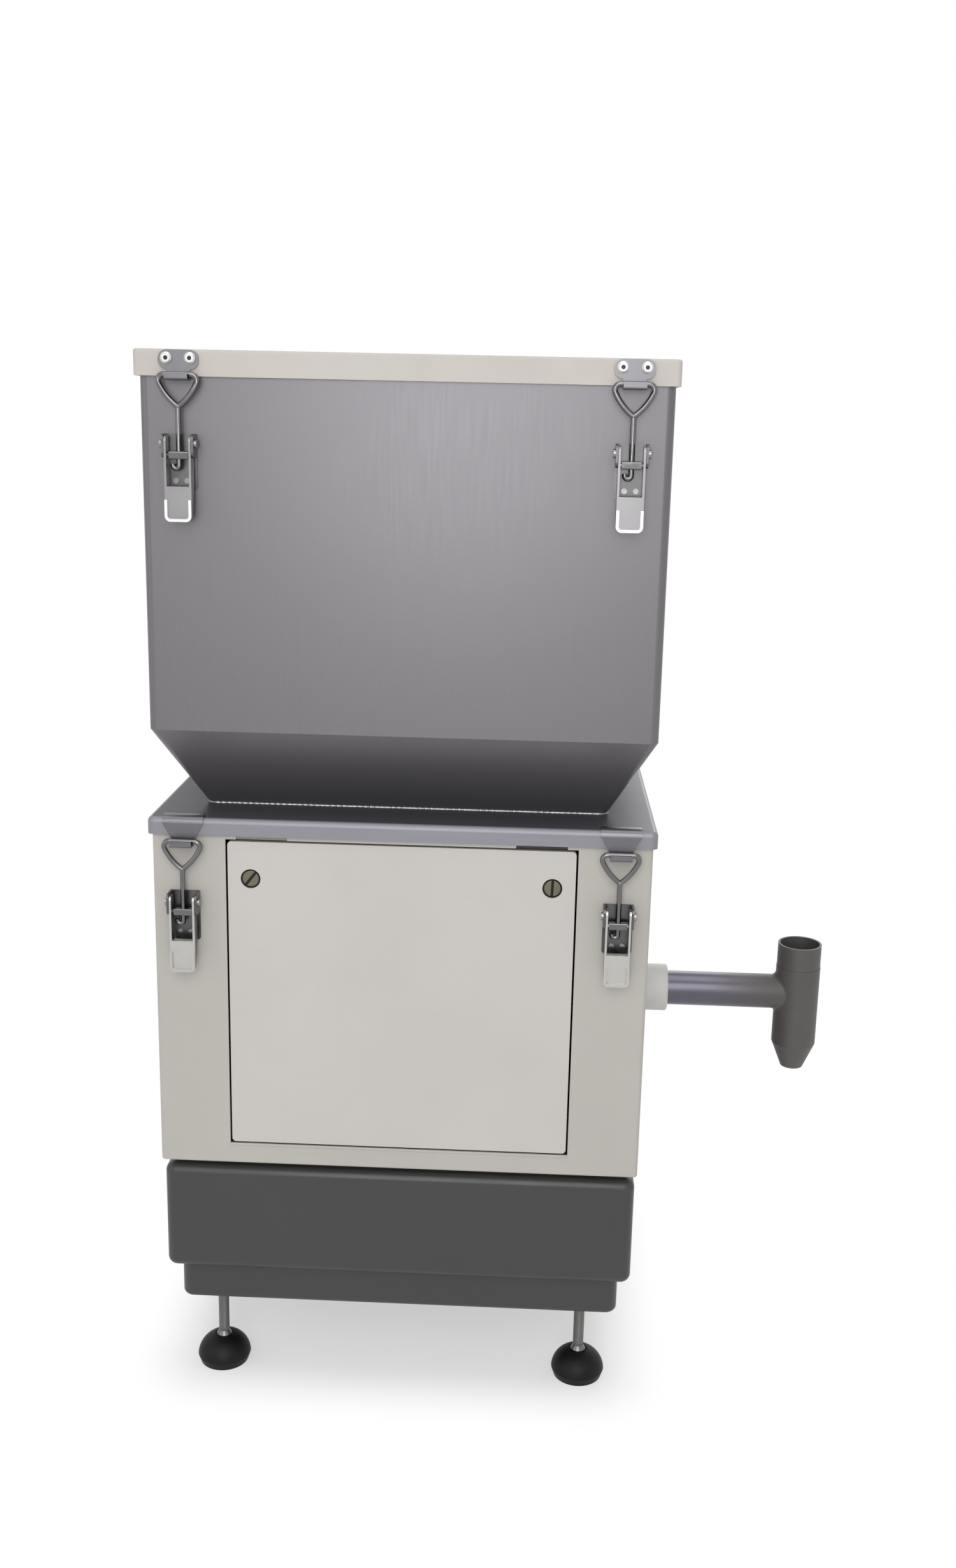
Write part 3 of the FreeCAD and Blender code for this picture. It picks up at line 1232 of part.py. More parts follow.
def agitator_gear():
    """Gear on the agitator's shaft, with a gap down towards the auger's gear."""
    shape = gear(AGITATOR_TEETH, AUGER_SHAFT_RADIUS + RUNNING_GAP, -90 + 180 / AGITATOR_TEETH)
    shape.translate(Vector(GEAR_X, 0, AGITATOR_AXIS_Z))
    return shape


def motor_pinion():
    """Pinion and gearbox output shaft in one piece, with a gap up towards the auger's gear."""
    shape = gear(PINION_TEETH, 0, 90 + 180 / PINION_TEETH)
    shape.translate(Vector(GEAR_X, 0, PINION_AXIS_Z))
    start = Vector(GEAR_X, 0, PINION_AXIS_Z)
    end = Vector(-TROUGH_HALF_LENGTH + GEARBOX_BORE_DEPTH - LOOSE_GAP, 0, PINION_AXIS_Z)
    return shape.fuse(cylinder(PINION_SHAFT_RADIUS, start, end)).removeSplitter()


def gearbox():
    """Reduction gearbox under the trough, bored for its output shaft."""
    start = -TROUGH_HALF_LENGTH
    half = GEARBOX_HALF
    case = block((start, start + GEARBOX_LENGTH), (-half, half), (GEARBOX_BOTTOM, PINION_AXIS_Z + half))
    case = round_along(case, X_AXIS, GEARBOX_ROUND)
    mouth = Vector(start, 0, PINION_AXIS_Z)
    floor = mouth + X_AXIS * GEARBOX_BORE_DEPTH
    return case.cut(cylinder(PINION_SHAFT_RADIUS + RUNNING_GAP, mouth - X_AXIS * OVERRUN, floor))


def drive_motor():
    """Motor with a stepped end cap, flanged to the gearbox."""
    start = Vector(-TROUGH_HALF_LENGTH + GEARBOX_LENGTH, 0, PINION_AXIS_Z)
    end = start + X_AXIS * MOTOR_LENGTH
    can = cylinder(MOTOR_RADIUS, start, end)
    cap = cylinder(MOTOR_RADIUS - MOTOR_CAP_STEP, end, end + X_AXIS * MOTOR_CAP)
    rim = [e for e in cap.Edges if abs(e.BoundBox.XMin - end.x - MOTOR_CAP) < CLOSE]
    return can.fuse(cap.makeFillet(MOTOR_CAP_STEP, rim)).removeSplitter()


def motor_bracket():
    """Plate that carries the gearbox on the cabinet's floor."""
    start = -TROUGH_HALF_LENGTH
    floor = CABINET_BOTTOM + SHEET
    return block((start, start + GEARBOX_LENGTH), (-GEARBOX_HALF, GEARBOX_HALF), (floor, GEARBOX_BOTTOM))


# Every piece by its node name

def build():
    """All pieces of the machine, each under its node's name."""
    parts = {
        "foot_nuts": foot_nuts(),
        "scale_tray": scale_tray(),
        "scale_pan": scale_pan(),
        "load_cell": load_cell(),
        "load_cell_spacers": cell_spacers(),
        "load_cell_bolts": cell_bolts(),
        "isolator_frame": isolator(),
        "cabinet_shell": cabinet_shell(),
        "access_panel": access_panel(),
        "panel_stud_left": quarter_turn(-1, SLOT_ANGLE_LEFT),
        "panel_stud_right": quarter_turn(1, SLOT_ANGLE_RIGHT),
        "panel_stud_seats": stud_seats(),
        "panel_strikes": panel_strikes(),
        "signal_inlet": signal_inlet(),
        "cover_gasket": cover_gasket(),
        "cover_plate": cover_plate(),
        "hopper_shell": hopper_shell(),
        "lid": lid(),
        "lid_seal": lid_seal(),
        "lid_keepers": latch_group("hopper", [lid_keeper()]),
        "lid_keeper_screws": latch_group("hopper", keeper_screws()),
        "cover_keepers": latch_group("cabinet", [cover_keeper()]),
        "feed_trough": feed_trough(),
        "discharge_tee": discharge_tee(),
        "outlet_collar": outlet_collar(),
        "auger": auger(),
        "auger_gear": auger_gear(),
        "agitator": agitator(),
        "agitator_gear": agitator_gear(),
        "shaft_bushes": shaft_bushes(),
        "motor_pinion": motor_pinion(),
        "gearbox": gearbox(),
        "drive_motor": drive_motor(),
        "motor_bracket": motor_bracket(),
    }
    for name, place in foot_places().items():
        foot = Part.makeCompound([foot_stud(), foot_pad()])
        foot.translate(place)
        parts["foot_" + name] = foot
    for group in ("hopper", "cabinet"):
        parts[group + "_latch_bases"] = latch_group(group, [latch_base()])
    parts["latch_pins"] = latch_group("", latch_pins())
    parts["latch_rivets"] = latch_group("", latch_rivets())
    lever = latch_lever()
    bail = latch_bail()
    for name, (place, rear) in latch_places().items():
        parts["lever_" + name] = put_latch_piece(lever, place, rear)
        parts["bail_" + name] = put_latch_piece(bail, place, rear)
    return parts


os.makedirs("parts", exist_ok=True)
for node, shape in build().items():
    shape.translate(Vector(-MIDDLE_X, 0, 0))
    shape.exportStep("parts/" + node + ".step")
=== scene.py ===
import math

import bmesh
import bpy
from mathutils import Matrix, Vector


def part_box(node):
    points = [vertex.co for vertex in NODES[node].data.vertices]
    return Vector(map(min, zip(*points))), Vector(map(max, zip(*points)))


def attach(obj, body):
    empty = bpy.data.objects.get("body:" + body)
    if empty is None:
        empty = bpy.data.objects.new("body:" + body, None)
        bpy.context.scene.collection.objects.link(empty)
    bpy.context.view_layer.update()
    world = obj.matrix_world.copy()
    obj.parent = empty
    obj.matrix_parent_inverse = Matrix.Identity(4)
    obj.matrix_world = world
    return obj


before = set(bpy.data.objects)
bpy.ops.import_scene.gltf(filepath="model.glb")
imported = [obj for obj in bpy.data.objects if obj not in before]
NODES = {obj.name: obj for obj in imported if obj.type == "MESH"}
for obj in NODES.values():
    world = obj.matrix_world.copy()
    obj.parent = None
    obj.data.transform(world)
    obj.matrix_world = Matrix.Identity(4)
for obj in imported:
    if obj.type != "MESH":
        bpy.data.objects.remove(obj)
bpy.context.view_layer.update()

# Camera, in metres and radians, solved from the straight edges in the photograph
IMAGE_WIDTH = 1502
IMAGE_HEIGHT = 2464
FOCAL_PIXELS = 2395.1
SENSOR_MM = 36.0
CAMERA_PLACE = Vector((0.01547, -1.24143, 0.7669))
CAMERA_YAW = 0.036
CAMERA_PITCH = -0.237
CAMERA_ROLL = 0.022

# Colours, linear light
CREAM = (0.490, 0.468, 0.434)
CREAM_PANEL = (0.570, 0.545, 0.515)
CREAM_LID = (0.545, 0.508, 0.475)
HOPPER_GREY = (0.165, 0.157, 0.168)
COVER_GREY = (0.252, 0.248, 0.280)
# Painted shade: the cover plate's flat top is darker than its rolled edge
COVER_TOP_PAINTED_SHADE = (0.085, 0.085, 0.097)
KEEPER_GREY = (0.160, 0.157, 0.168)
SCALE_GREY = (0.050, 0.049, 0.049)
LATCH_STEEL = (0.270, 0.264, 0.270)
LATCH_BASE = (0.120, 0.117, 0.120)
BAIL_STEEL = (0.165, 0.161, 0.164)
HANDLE_PALE = (0.500, 0.490, 0.465)
TUBE_GREY = (0.120, 0.115, 0.140)
TEE_GREY = (0.095, 0.088, 0.086)
ZINC = (0.420, 0.415, 0.400)
WHITE_ZINC = (0.700, 0.695, 0.680)
FOOT_STEEL = (0.170, 0.165, 0.160)
# Painted highlight on the outer edge of the hopper levers
RIM_PAINTED_HIGHLIGHT = (0.750, 0.745, 0.750)
STUD_OLIVE = (0.150, 0.142, 0.104)
# Painted shade for the studs' slots and the screws' sockets, and all that lies deeper than their faces
RECESS_PAINTED_SHADE = (0.018, 0.017, 0.014)
RUBBER = (0.006, 0.006, 0.006)
COLLAR_WHITE = (0.670, 0.665, 0.640)
BRONZE = (0.450, 0.270, 0.110)
ALUMINIUM = (0.560, 0.565, 0.575)
MOTOR_BLACK = (0.020, 0.020, 0.022)
STRIKE_BROWN = (0.260, 0.225, 0.185)
STRIKE_DARK = (0.040, 0.039, 0.038)

# Noise values that spread over a whole range
NOISE_LOW = 0.3
NOISE_HIGH = 0.7

# Where one piece changes colour, in metres along its axis
CABINET_MIDDLE_X = -0.07875
TUBE_DULL_X = 0.165
TEE_LEFT_X = 0.2292
# Height above which the cover plate's flat top takes its painted shade
COVER_TOP_Z = 0.47494

# Stage and light
FLOOR_PALE = 0.9
FLOOR_RADIUS = 6.0
FLOOR_SIDES = 96
FLOOR_ROUGHNESS = 0.9
SHADOW_HALF = (0.150, 0.130, 0.0)
SHADOW_REACH = 0.075
SHADOW_LIFT = 0.5
FILL_STRENGTH = 0.40
LIGHT_AIM = Vector((-0.07, 0.0, 0.45))
LIGHTS = (
    ("front_light", (-0.10, -2.3, 1.75), 21.5, 1.5),
    ("glow_light", (-0.14, -2.3, 0.74), 6.0, 0.4),
    ("left_fill", (-2.2, -1.4, 1.2), 5.0, 1.6),
    ("top_light", (0.0, -0.2, 2.8), 16.0, 1.8),
    ("rear_light", (0.6, 2.4, 1.6), 14.0, 1.6),
)

# Foot studs and their threads, in metres
PAD_TOP = 0.0222
STUD_RADIUS = 0.0040
THREAD_PITCH = 0.00125
THREAD_DEPTH = 0.00035
THREAD_START = 0.028
THREAD_END = 0.0585
THREAD_SIDES = 20
THREAD_FLANK = 0.42

# Depths of the outer bands that differ in colour from what lies deeper; on the hopper levers the band is a
# painted highlight, and below the stud faces and screw heads lies painted shade
RIM_BAND = 0.0010
HANDLE_BAND = 0.0030
SLOT_SHADE_DEPTH = 0.0007
SOCKET_SHADE_DEPTH = 0.0014

# Weld bead round the hopper's throat
THROAT_WIDTH = 0.305
THROAT_DEPTH = 0.238
WELD_RADIUS = 0.0012
WELD_RIPPLE = 0.0042
WELD_RIPPLE_POINTS = 3
WELD_SIDES = 8
WELD_SWELL = 0.22
WELD_DRIFT = 0.1
WELD_DRIFT_RATE = 1.7
CORNER_RADIUS = 0.006


# Materials

def new_material(name):
    """A fresh material with its node tree and main shader."""
    material = bpy.data.materials.new(name)
    material.use_nodes = True
    shader = material.node_tree.nodes["Principled BSDF"]
    return material, material.node_tree, shader


def object_coordinates(tree, stretch=(1, 1, 1)):
    """Coordinates fixed to the piece, stretched along its axes."""
    source = tree.nodes.new("ShaderNodeTexCoord")
    mapping = tree.nodes.new("ShaderNodeMapping")
    mapping.inputs["Scale"].default_value = stretch
    tree.links.new(source.outputs["Object"], mapping.inputs["Vector"])
    return mapping.outputs["Vector"]


def noise(tree, scale, detail=3.0, stretch=(1, 1, 1)):
    """A noise field on the piece."""
    node = tree.nodes.new("ShaderNodeTexNoise")
    node.inputs["Scale"].default_value = scale
    node.inputs["Detail"].default_value = detail
    tree.links.new(object_coordinates(tree, stretch), node.inputs["Vector"])
    return node.outputs["Fac"]


def remap(tree, value, low, high):
    """Spreads a noise value over a range."""
    node = tree.nodes.new("ShaderNodeMapRange")
    node.inputs["From Min"].default_value = NOISE_LOW
    node.inputs["From Max"].default_value = NOISE_HIGH
    node.inputs["To Min"].default_value = low
    node.inputs["To Max"].default_value = high
    tree.links.new(value, node.inputs["Value"])
    return node.outputs["Result"]


def shade(colour, factor):
    """A colour made darker or lighter, with full alpha."""
    return tuple(min(channel * factor, 1.0) for channel in colour) + (1.0,)


def mottle(tree, colour, spread, value):
    """A base colour that drifts a little with a noise value."""
    return blend_colours(tree, value, shade(colour, 1 - spread), shade(colour, 1 + spread))


def blend_colours(tree, factor, first, second):
    """Mixes two colours, each either a plain colour or the output of another node."""
    node = tree.nodes.new("ShaderNodeMix")
    node.data_type = "RGBA"
    tree.links.new(factor, node.inputs["Factor"])
    for name, colour in (("A", first), ("B", second)):
        if isinstance(colour, tuple):
            node.inputs[name].default_value = colour
        else:
            tree.links.new(colour, node.inputs[name])
    return node.outputs["Result"]


def place_along(tree, axis):
    """The place along one of the piece's axes."""
    source = tree.nodes.new("ShaderNodeTexCoord")
    split = tree.nodes.new("ShaderNodeSeparateXYZ")
    tree.links.new(source.outputs["Object"], split.inputs["Vector"])
    return split.outputs[axis]


def beyond(tree, axis, limit):
    """1 where the piece lies past a limit along one of its axes, else 0. Y counts out from the middle."""
    place = place_along(tree, axis)
    above = tree.nodes.new("ShaderNodeMath")
    above.operation = "GREATER_THAN"
    above.inputs[1].default_value = limit
    if axis == "Y":
        outward = tree.nodes.new("ShaderNodeMath")
        outward.operation = "ABSOLUTE"
        tree.links.new(place, outward.inputs[0])
        place = outward.outputs["Value"]
    tree.links.new(place, above.inputs[0])
    return above.outputs["Value"]


def spread_over(tree, factor, low, high):
    """A value that goes from low to high as a factor goes from 0 to 1."""
    node = tree.nodes.new("ShaderNodeMapRange")
    node.inputs["To Min"].default_value = low
    node.inputs["To Max"].default_value = high
    tree.links.new(factor, node.inputs["Value"])
    return node.outputs["Result"]


def smooth_rise(tree, axis, start, end):
    """Rises smoothly from 0 to 1 between two places along one of the piece's axes."""
    node = tree.nodes.new("ShaderNodeMapRange")
    node.interpolation_type = "SMOOTHSTEP"
    node.inputs["From Min"].default_value = start
    node.inputs["From Max"].default_value = end
    tree.links.new(place_along(tree, axis), node.inputs["Value"])
    return node.outputs["Result"]


def bump(tree, shader, height, strength, distance):
    """Surface relief from a height value."""
    node = tree.nodes.new("ShaderNodeBump")
    node.inputs["Strength"].default_value = strength
    node.inputs["Distance"].default_value = distance
    tree.links.new(height, node.inputs["Height"])
    tree.links.new(node.outputs["Normal"], shader.inputs["Normal"])


def powder_coat(name, colour, roughness, peel=0.12):
    """Baked powder coat: an even colour with a fine orange-peel skin."""
    material, tree, shader = new_material(name)
    drift = remap(tree, noise(tree, scale=9.0), 0.0, 1.0)
    tree.links.new(mottle(tree, colour, 0.03, drift), shader.inputs["Base Color"])
    rough = remap(tree, noise(tree, scale=40.0), roughness - 0.05, roughness + 0.05)
    tree.links.new(rough, shader.inputs["Roughness"])
    shader.inputs["Specular IOR Level"].default_value = 0.4
    bump(tree, shader, noise(tree, scale=700.0, detail=2.0), strength=peel, distance=0.0003)
    return material


def satin_metal(name, colour, roughness, stretch=(1, 1, 1), metallic=1.0, spread=0.04, change=None):
    """Rolled or brushed metal: fine streaks over broad tone changes, and a second colour past a limit."""
    material, tree, shader = new_material(name)
    broad = noise(tree, scale=6.0)
    streaks = noise(tree, scale=90.0, detail=4.0, stretch=stretch)
    mix = tree.nodes.new("ShaderNodeMix")
    mix.inputs["Factor"].default_value = 0.55
    tree.links.new(broad, mix.inputs["A"])
    tree.links.new(streaks, mix.inputs["B"])
    drift = remap(tree, mix.outputs["Result"], 0.0, 1.0)
    tone = mottle(tree, colour, spread, drift)
    if change:
        axis, limit, second = change
        tone = blend_colours(tree, beyond(tree, axis, limit), tone, mottle(tree, second, spread, drift))
    tree.links.new(tone, shader.inputs["Base Color"])
    rough = remap(tree, streaks, roughness - 0.02, roughness + 0.02)
    tree.links.new(rough, shader.inputs["Roughness"])
    shader.inputs["Metallic"].default_value = metallic
    bump(tree, shader, streaks, strength=0.015, distance=0.0001)
    return material


def bright_steel(name, colour, roughness):
    """Stamped and tumbled stainless steel, with faint scuffs."""
    material, tree, shader = new_material(name)
    scuffs = noise(tree, scale=160.0, detail=4.0)
    tree.links.new(mottle(tree, colour, 0.05, remap(tree, scuffs, 0.0, 1.0)), shader.inputs["Base Color"])
    tree.links.new(remap(tree, scuffs, roughness - 0.03, roughness + 0.06), shader.inputs["Roughness"])
    shader.inputs["Metallic"].default_value = 1.0
    bump(tree, shader, scuffs, strength=0.02, distance=0.0001)
    return material


def soft_rubber(name, colour):
    """Moulded rubber with a dusty skin."""
    material, tree, shader = new_material(name)
    dust = noise(tree, scale=55.0, detail=4.0)
    tree.links.new(mottle(tree, colour, 0.35, remap(tree, dust, 0.0, 1.0)), shader.inputs["Base Color"])
    tree.links.new(remap(tree, dust, 0.55, 0.75), shader.inputs["Roughness"])
    bump(tree, shader, noise(tree, scale=500.0), strength=0.15, distance=0.0002)
    return material


def plastic(name, colour, roughness):
    """Turned or moulded plastic."""
    material, tree, shader = new_material(name)
    grain = noise(tree, scale=120.0)
    tree.links.new(mottle(tree, colour, 0.04, remap(tree, grain, 0.0, 1.0)), shader.inputs["Base Color"])
    tree.links.new(remap(tree, grain, roughness - 0.05, roughness + 0.05), shader.inputs["Roughness"])
    bump(tree, shader, grain, strength=0.05, distance=0.0002)
    return material


def foot_material():
    """Rubber below the pad's top, dark steel above it."""
    material, tree, shader = new_material("foot_rubber_and_zinc")
    above = beyond(tree, "Z", PAD_TOP)
    grain = remap(tree, noise(tree, scale=150.0, detail=4.0), 0.0, 1.0)
    pad_tone = mottle(tree, RUBBER, 0.35, grain)
    tone = blend_colours(tree, above, pad_tone, mottle(tree, FOOT_STEEL, 0.08, grain))
    tree.links.new(tone, shader.inputs["Base Color"])
    tree.links.new(above, shader.inputs["Metallic"])
    shader.inputs["Specular IOR Level"].default_value = 0.2
    tree.links.new(spread_over(tree, above, 0.50, 0.28), shader.inputs["Roughness"])
    bump(tree, shader, grain, strength=0.08, distance=0.0002)
    return material


def tube_material():
    """Drawn tube that turns into the dull grey of its tee."""
    material, tree, shader = new_material("tube_and_tee_steel")
    dull = smooth_rise(tree, "X", TUBE_DULL_X, TEE_LEFT_X)
    grain = remap(tree, noise(tree, scale=60.0, detail=4.0), 0.0, 1.0)
    tube_tone = mottle(tree, TUBE_GREY, 0.04, grain)
    tone = blend_colours(tree, dull, tube_tone, mottle(tree, TEE_GREY, 0.04, grain))
    tree.links.new(tone, shader.inputs["Base Color"])
    tree.links.new(spread_over(tree, dull, 0.95, 0.15), shader.inputs["Metallic"])
    tree.links.new(spread_over(tree, dull, 0.30, 0.50), shader.inputs["Roughness"])
    bump(tree, shader, grain, strength=0.02, distance=0.0001)
    return material


def faced(node, depth, colour):
    """A second colour on the outermost band of a node, front and back."""
    low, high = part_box(node)
    return "Y", max(abs(low.y), abs(high.y)) - depth, colour


def paint_nodes():
    """Gives every carried-over node its material."""
    scale = powder_coat("grey_powder_coat", SCALE_GREY, roughness=0.36, peel=0.2)
    hopper = satin_metal(
        "satin_hopper_steel", HOPPER_GREY, roughness=0.38, stretch=(6, 6, 0.3), metallic=0.65, spread=0.03
    )
    aluminium = satin_metal("milled_aluminium", ALUMINIUM, roughness=0.35, stretch=(1, 8, 1))
    machined = satin_metal("machined_steel", ZINC, roughness=0.32, stretch=(8, 1, 1))
    bright = bright_steel("bright_latch_steel", LATCH_STEEL, roughness=0.2)
    # Stud faces olive; their slots and all below the face carry a painted shade
    olive = satin_metal(
        "olive_stud_plating_painted_slot_shade", RECESS_PAINTED_SHADE, roughness=0.42, metallic=0.7, spread=0.1,
        change=faced("panel_stud_left", SLOT_SHADE_DEPTH, STUD_OLIVE),
    )
    # Hopper levers: the outermost band of the rim carries a painted highlight
    hopper_lever = satin_metal(
        "lever_steel_painted_rim_highlight", LATCH_STEEL, roughness=0.3, metallic=0.6,
        change=faced("lever_hopper_front_left", RIM_BAND, RIM_PAINTED_HIGHLIGHT),
    )
    cabinet_lever = satin_metal(
        "pale_lever_steel", LATCH_BASE, roughness=0.3, metallic=0.6,
        change=faced("lever_cabinet_front_left", HANDLE_BAND, HANDLE_PALE),
    )
    # Screw heads white zinc on their outer face; their sockets carry a painted shade
    screws = satin_metal(
        "white_zinc_screws_painted_socket_shade", RECESS_PAINTED_SHADE, roughness=0.35, metallic=0.3,
        change=faced("lid_keeper_screws", SOCKET_SHADE_DEPTH, WHITE_ZINC),
    )
    base = bright_steel("dark_latch_base_steel", LATCH_BASE, roughness=0.3)
    wire = bright_steel("bail_wire_steel", BAIL_STEEL, roughness=0.15)
    keeper = satin_metal("satin_keeper_steel", KEEPER_GREY, roughness=0.34, stretch=(6, 6, 1))
    rubber = soft_rubber("black_rubber", RUBBER)
    foot = foot_material()
    named = {
        "cabinet_shell": powder_coat("cream_powder_coat", CREAM, roughness=0.45),
        "access_panel": powder_coat("cream_powder_coat_panel", CREAM_PANEL, roughness=0.45),
        "lid": powder_coat("cream_powder_coat_lid", CREAM_LID, roughness=0.45),
        "hopper_shell": hopper,
        "feed_trough": hopper,
        # The cover plate's flat top carries a painted shade; its rolled edge keeps the lighter grey
        "cover_plate": satin_metal(
            "satin_cover_steel", COVER_GREY, roughness=0.45, stretch=(0.15, 6, 6), metallic=0.4,
            change=("Z", COVER_TOP_Z, COVER_TOP_PAINTED_SHADE),
        ),
        "cover_keepers": keeper,
        "lid_keeper_screws": screws,
        "hopper_latch_bases": base,
        "cabinet_latch_bases": base,
        "scale_pan": scale,
        "scale_tray": scale,
        "discharge_tee": tube_material(),
        "outlet_collar": plastic("white_collar_plastic", COLLAR_WHITE, roughness=0.5),
        "signal_inlet": plastic("black_inlet_plastic", MOTOR_BLACK, roughness=0.45),
        "panel_strikes": satin_metal(
            "dull_strike_steel", STRIKE_BROWN, roughness=0.5, stretch=(1, 1, 8), metallic=0.5, spread=0.06,
            change=("X", CABINET_MIDDLE_X, STRIKE_DARK),
        ),
        "panel_stud_seats": plastic("black_cup_plastic", MOTOR_BLACK, roughness=0.5),
        "panel_stud_left": olive,
        "panel_stud_right": olive,
        "load_cell": aluminium,
        "load_cell_spacers": aluminium,
        "gearbox": aluminium,
        "drive_motor": powder_coat("black_motor_coat", MOTOR_BLACK, roughness=0.4),
        "shaft_bushes": satin_metal("sintered_bronze", BRONZE, roughness=0.4, stretch=(8, 1, 1)),
        "isolator_frame": rubber,
        "cover_gasket": rubber,
        "lid_seal": rubber,
    }
    starts = {
        "lever_hopper": hopper_lever, "lever_cabinet": cabinet_lever, "bail_": wire, "latch_": bright,
        "lid_keeper": keeper, "foot_front": foot, "foot_rear": foot,
    }
    for name, node in NODES.items():
        material = named.get(name)
        for start, choice in starts.items():
            if material is None and name.startswith(start):
                material = choice
        node.data.materials.clear()
        node.data.materials.append(material or machined)


# Added pieces

def new_piece(name, mesh_builder, material, body):
    """A mesh piece from a bmesh builder, riding on a body."""
    data = bpy.data.meshes.new(name)
    shape = bmesh.new()
    mesh_builder(shape)
    bmesh.ops.recalc_face_normals(shape, faces=shape.faces)
    for face in shape.faces:
        face.smooth = True
    shape.to_mesh(data)
    shape.free()
    piece = bpy.data.objects.new(name, data)
    bpy.context.scene.collection.objects.link(piece)
    data.materials.append(material)
    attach(piece, body)
    return piece


def thread_builder(centre):
    """Builds the ridge of a screw thread round a foot stud, closed at both ends."""
    def build(shape):
        turns = (THREAD_END - THREAD_START) / THREAD_PITCH
        steps = int(turns * THREAD_SIDES)
        rings = []
        for k in range(steps + 1):
            angle = 2 * math.pi * k / THREAD_SIDES
            level = THREAD_START + THREAD_PITCH * k / THREAD_SIDES
            out = Vector((math.cos(angle), math.sin(angle), 0))
            root = STUD_RADIUS - THREAD_DEPTH / 2
            profile = ((root, -THREAD_FLANK), (STUD_RADIUS + THREAD_DEPTH, 0.0), (root, THREAD_FLANK))
            rings.append([
                shape.verts.new(centre + out * radius + Vector((0, 0, level + lift * THREAD_PITCH)))
                for radius, lift in profile
            ])
        for before, after in zip(rings, rings[1:]):
            for a in range(3):
                b = (a + 1) % 3
                shape.faces.new((before[a], before[b], after[b], after[a]))
        shape.faces.new(rings[0])
        shape.faces.new(rings[-1])
    return build


def foot_threads(material):
    """Threads on the four levelling studs."""
    for name in NODES:
        if name.startswith("foot_") and name != "foot_nuts":
            low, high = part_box(name)
            centre = Vector(((low[0] + high[0]) / 2, (low[1] + high[1]) / 2, 0))
            new_piece("thread_" + name, thread_builder(centre), material, name)


def weld_builder(centre, level):
    """Builds a rippled weld bead round the hopper's throat."""
    def build(shape):
        step = WELD_RIPPLE / WELD_RIPPLE_POINTS
        path = rounded_rectangle(THROAT_WIDTH / 2, THROAT_DEPTH / 2, CORNER_RADIUS, step)
        rings = []
        for k, (point, outward) in enumerate(path):
            swell = 1.0 + WELD_SWELL * math.sin(2 * math.pi * k / WELD_RIPPLE_POINTS)
            swell += WELD_DRIFT * math.sin(k * WELD_DRIFT_RATE)
            ring = []
            for side in range(WELD_SIDES):
                angle = 2 * math.pi * side / WELD_SIDES
                offset = outward * (math.cos(angle) * WELD_RADIUS * swell)
                ring.append(shape.verts.new(
                    centre + point + offset + Vector((0, 0, level + math.sin(angle) * WELD_RADIUS * swell))
                ))
            rings.append(ring)
        for k, ring in enumerate(rings):
            after = rings[(k + 1) % len(rings)]
            for side in range(WELD_SIDES):
                turn = (side + 1) % WELD_SIDES
                shape.faces.new((ring[side], ring[turn], after[turn], after[side]))
    return build


def rounded_rectangle(half_width, half_depth, radius, step):
    """Points and outward directions round a rectangle with round corners, about evenly spaced."""
    path = []
    corners = [(1, -1, -90), (1, 1, 0), (-1, 1, 90), (-1, -1, 180)]
    for k, (sx, sy, start) in enumerate(corners):
        centre = Vector((sx * (half_width - radius), sy * (half_depth - radius), 0))
        count = max(int(radius * math.pi / 2 / step), 3)
        for i in range(count + 1):
            angle = math.radians(start + 90 * i / count)
            outward = Vector((math.cos(angle), math.sin(angle), 0))
            path.append((centre + outward * radius, outward))
        nx, ny, next_start = corners[(k + 1) % 4]
        angle = math.radians(next_start)
        outward = Vector((math.cos(angle), math.sin(angle), 0))
        end = Vector((nx * (half_width - radius), ny * (half_depth - radius), 0)) + outward * radius
        begin = path[-1][0]
        runs = max(int((end - begin).length / step), 2)
        for i in range(1, runs):
            path.append((begin.lerp(end, i / runs), outward))
    return path


def throat_weld(material):
    """Weld bead where the hopper stands on the cover plate."""
    low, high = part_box("hopper_shell")
    centre = Vector(((low[0] + high[0]) / 2, (low[1] + high[1]) / 2, 0))
    new_piece("throat_weld", weld_builder(centre, low[2]), material, "machine")


# Stage, light and camera

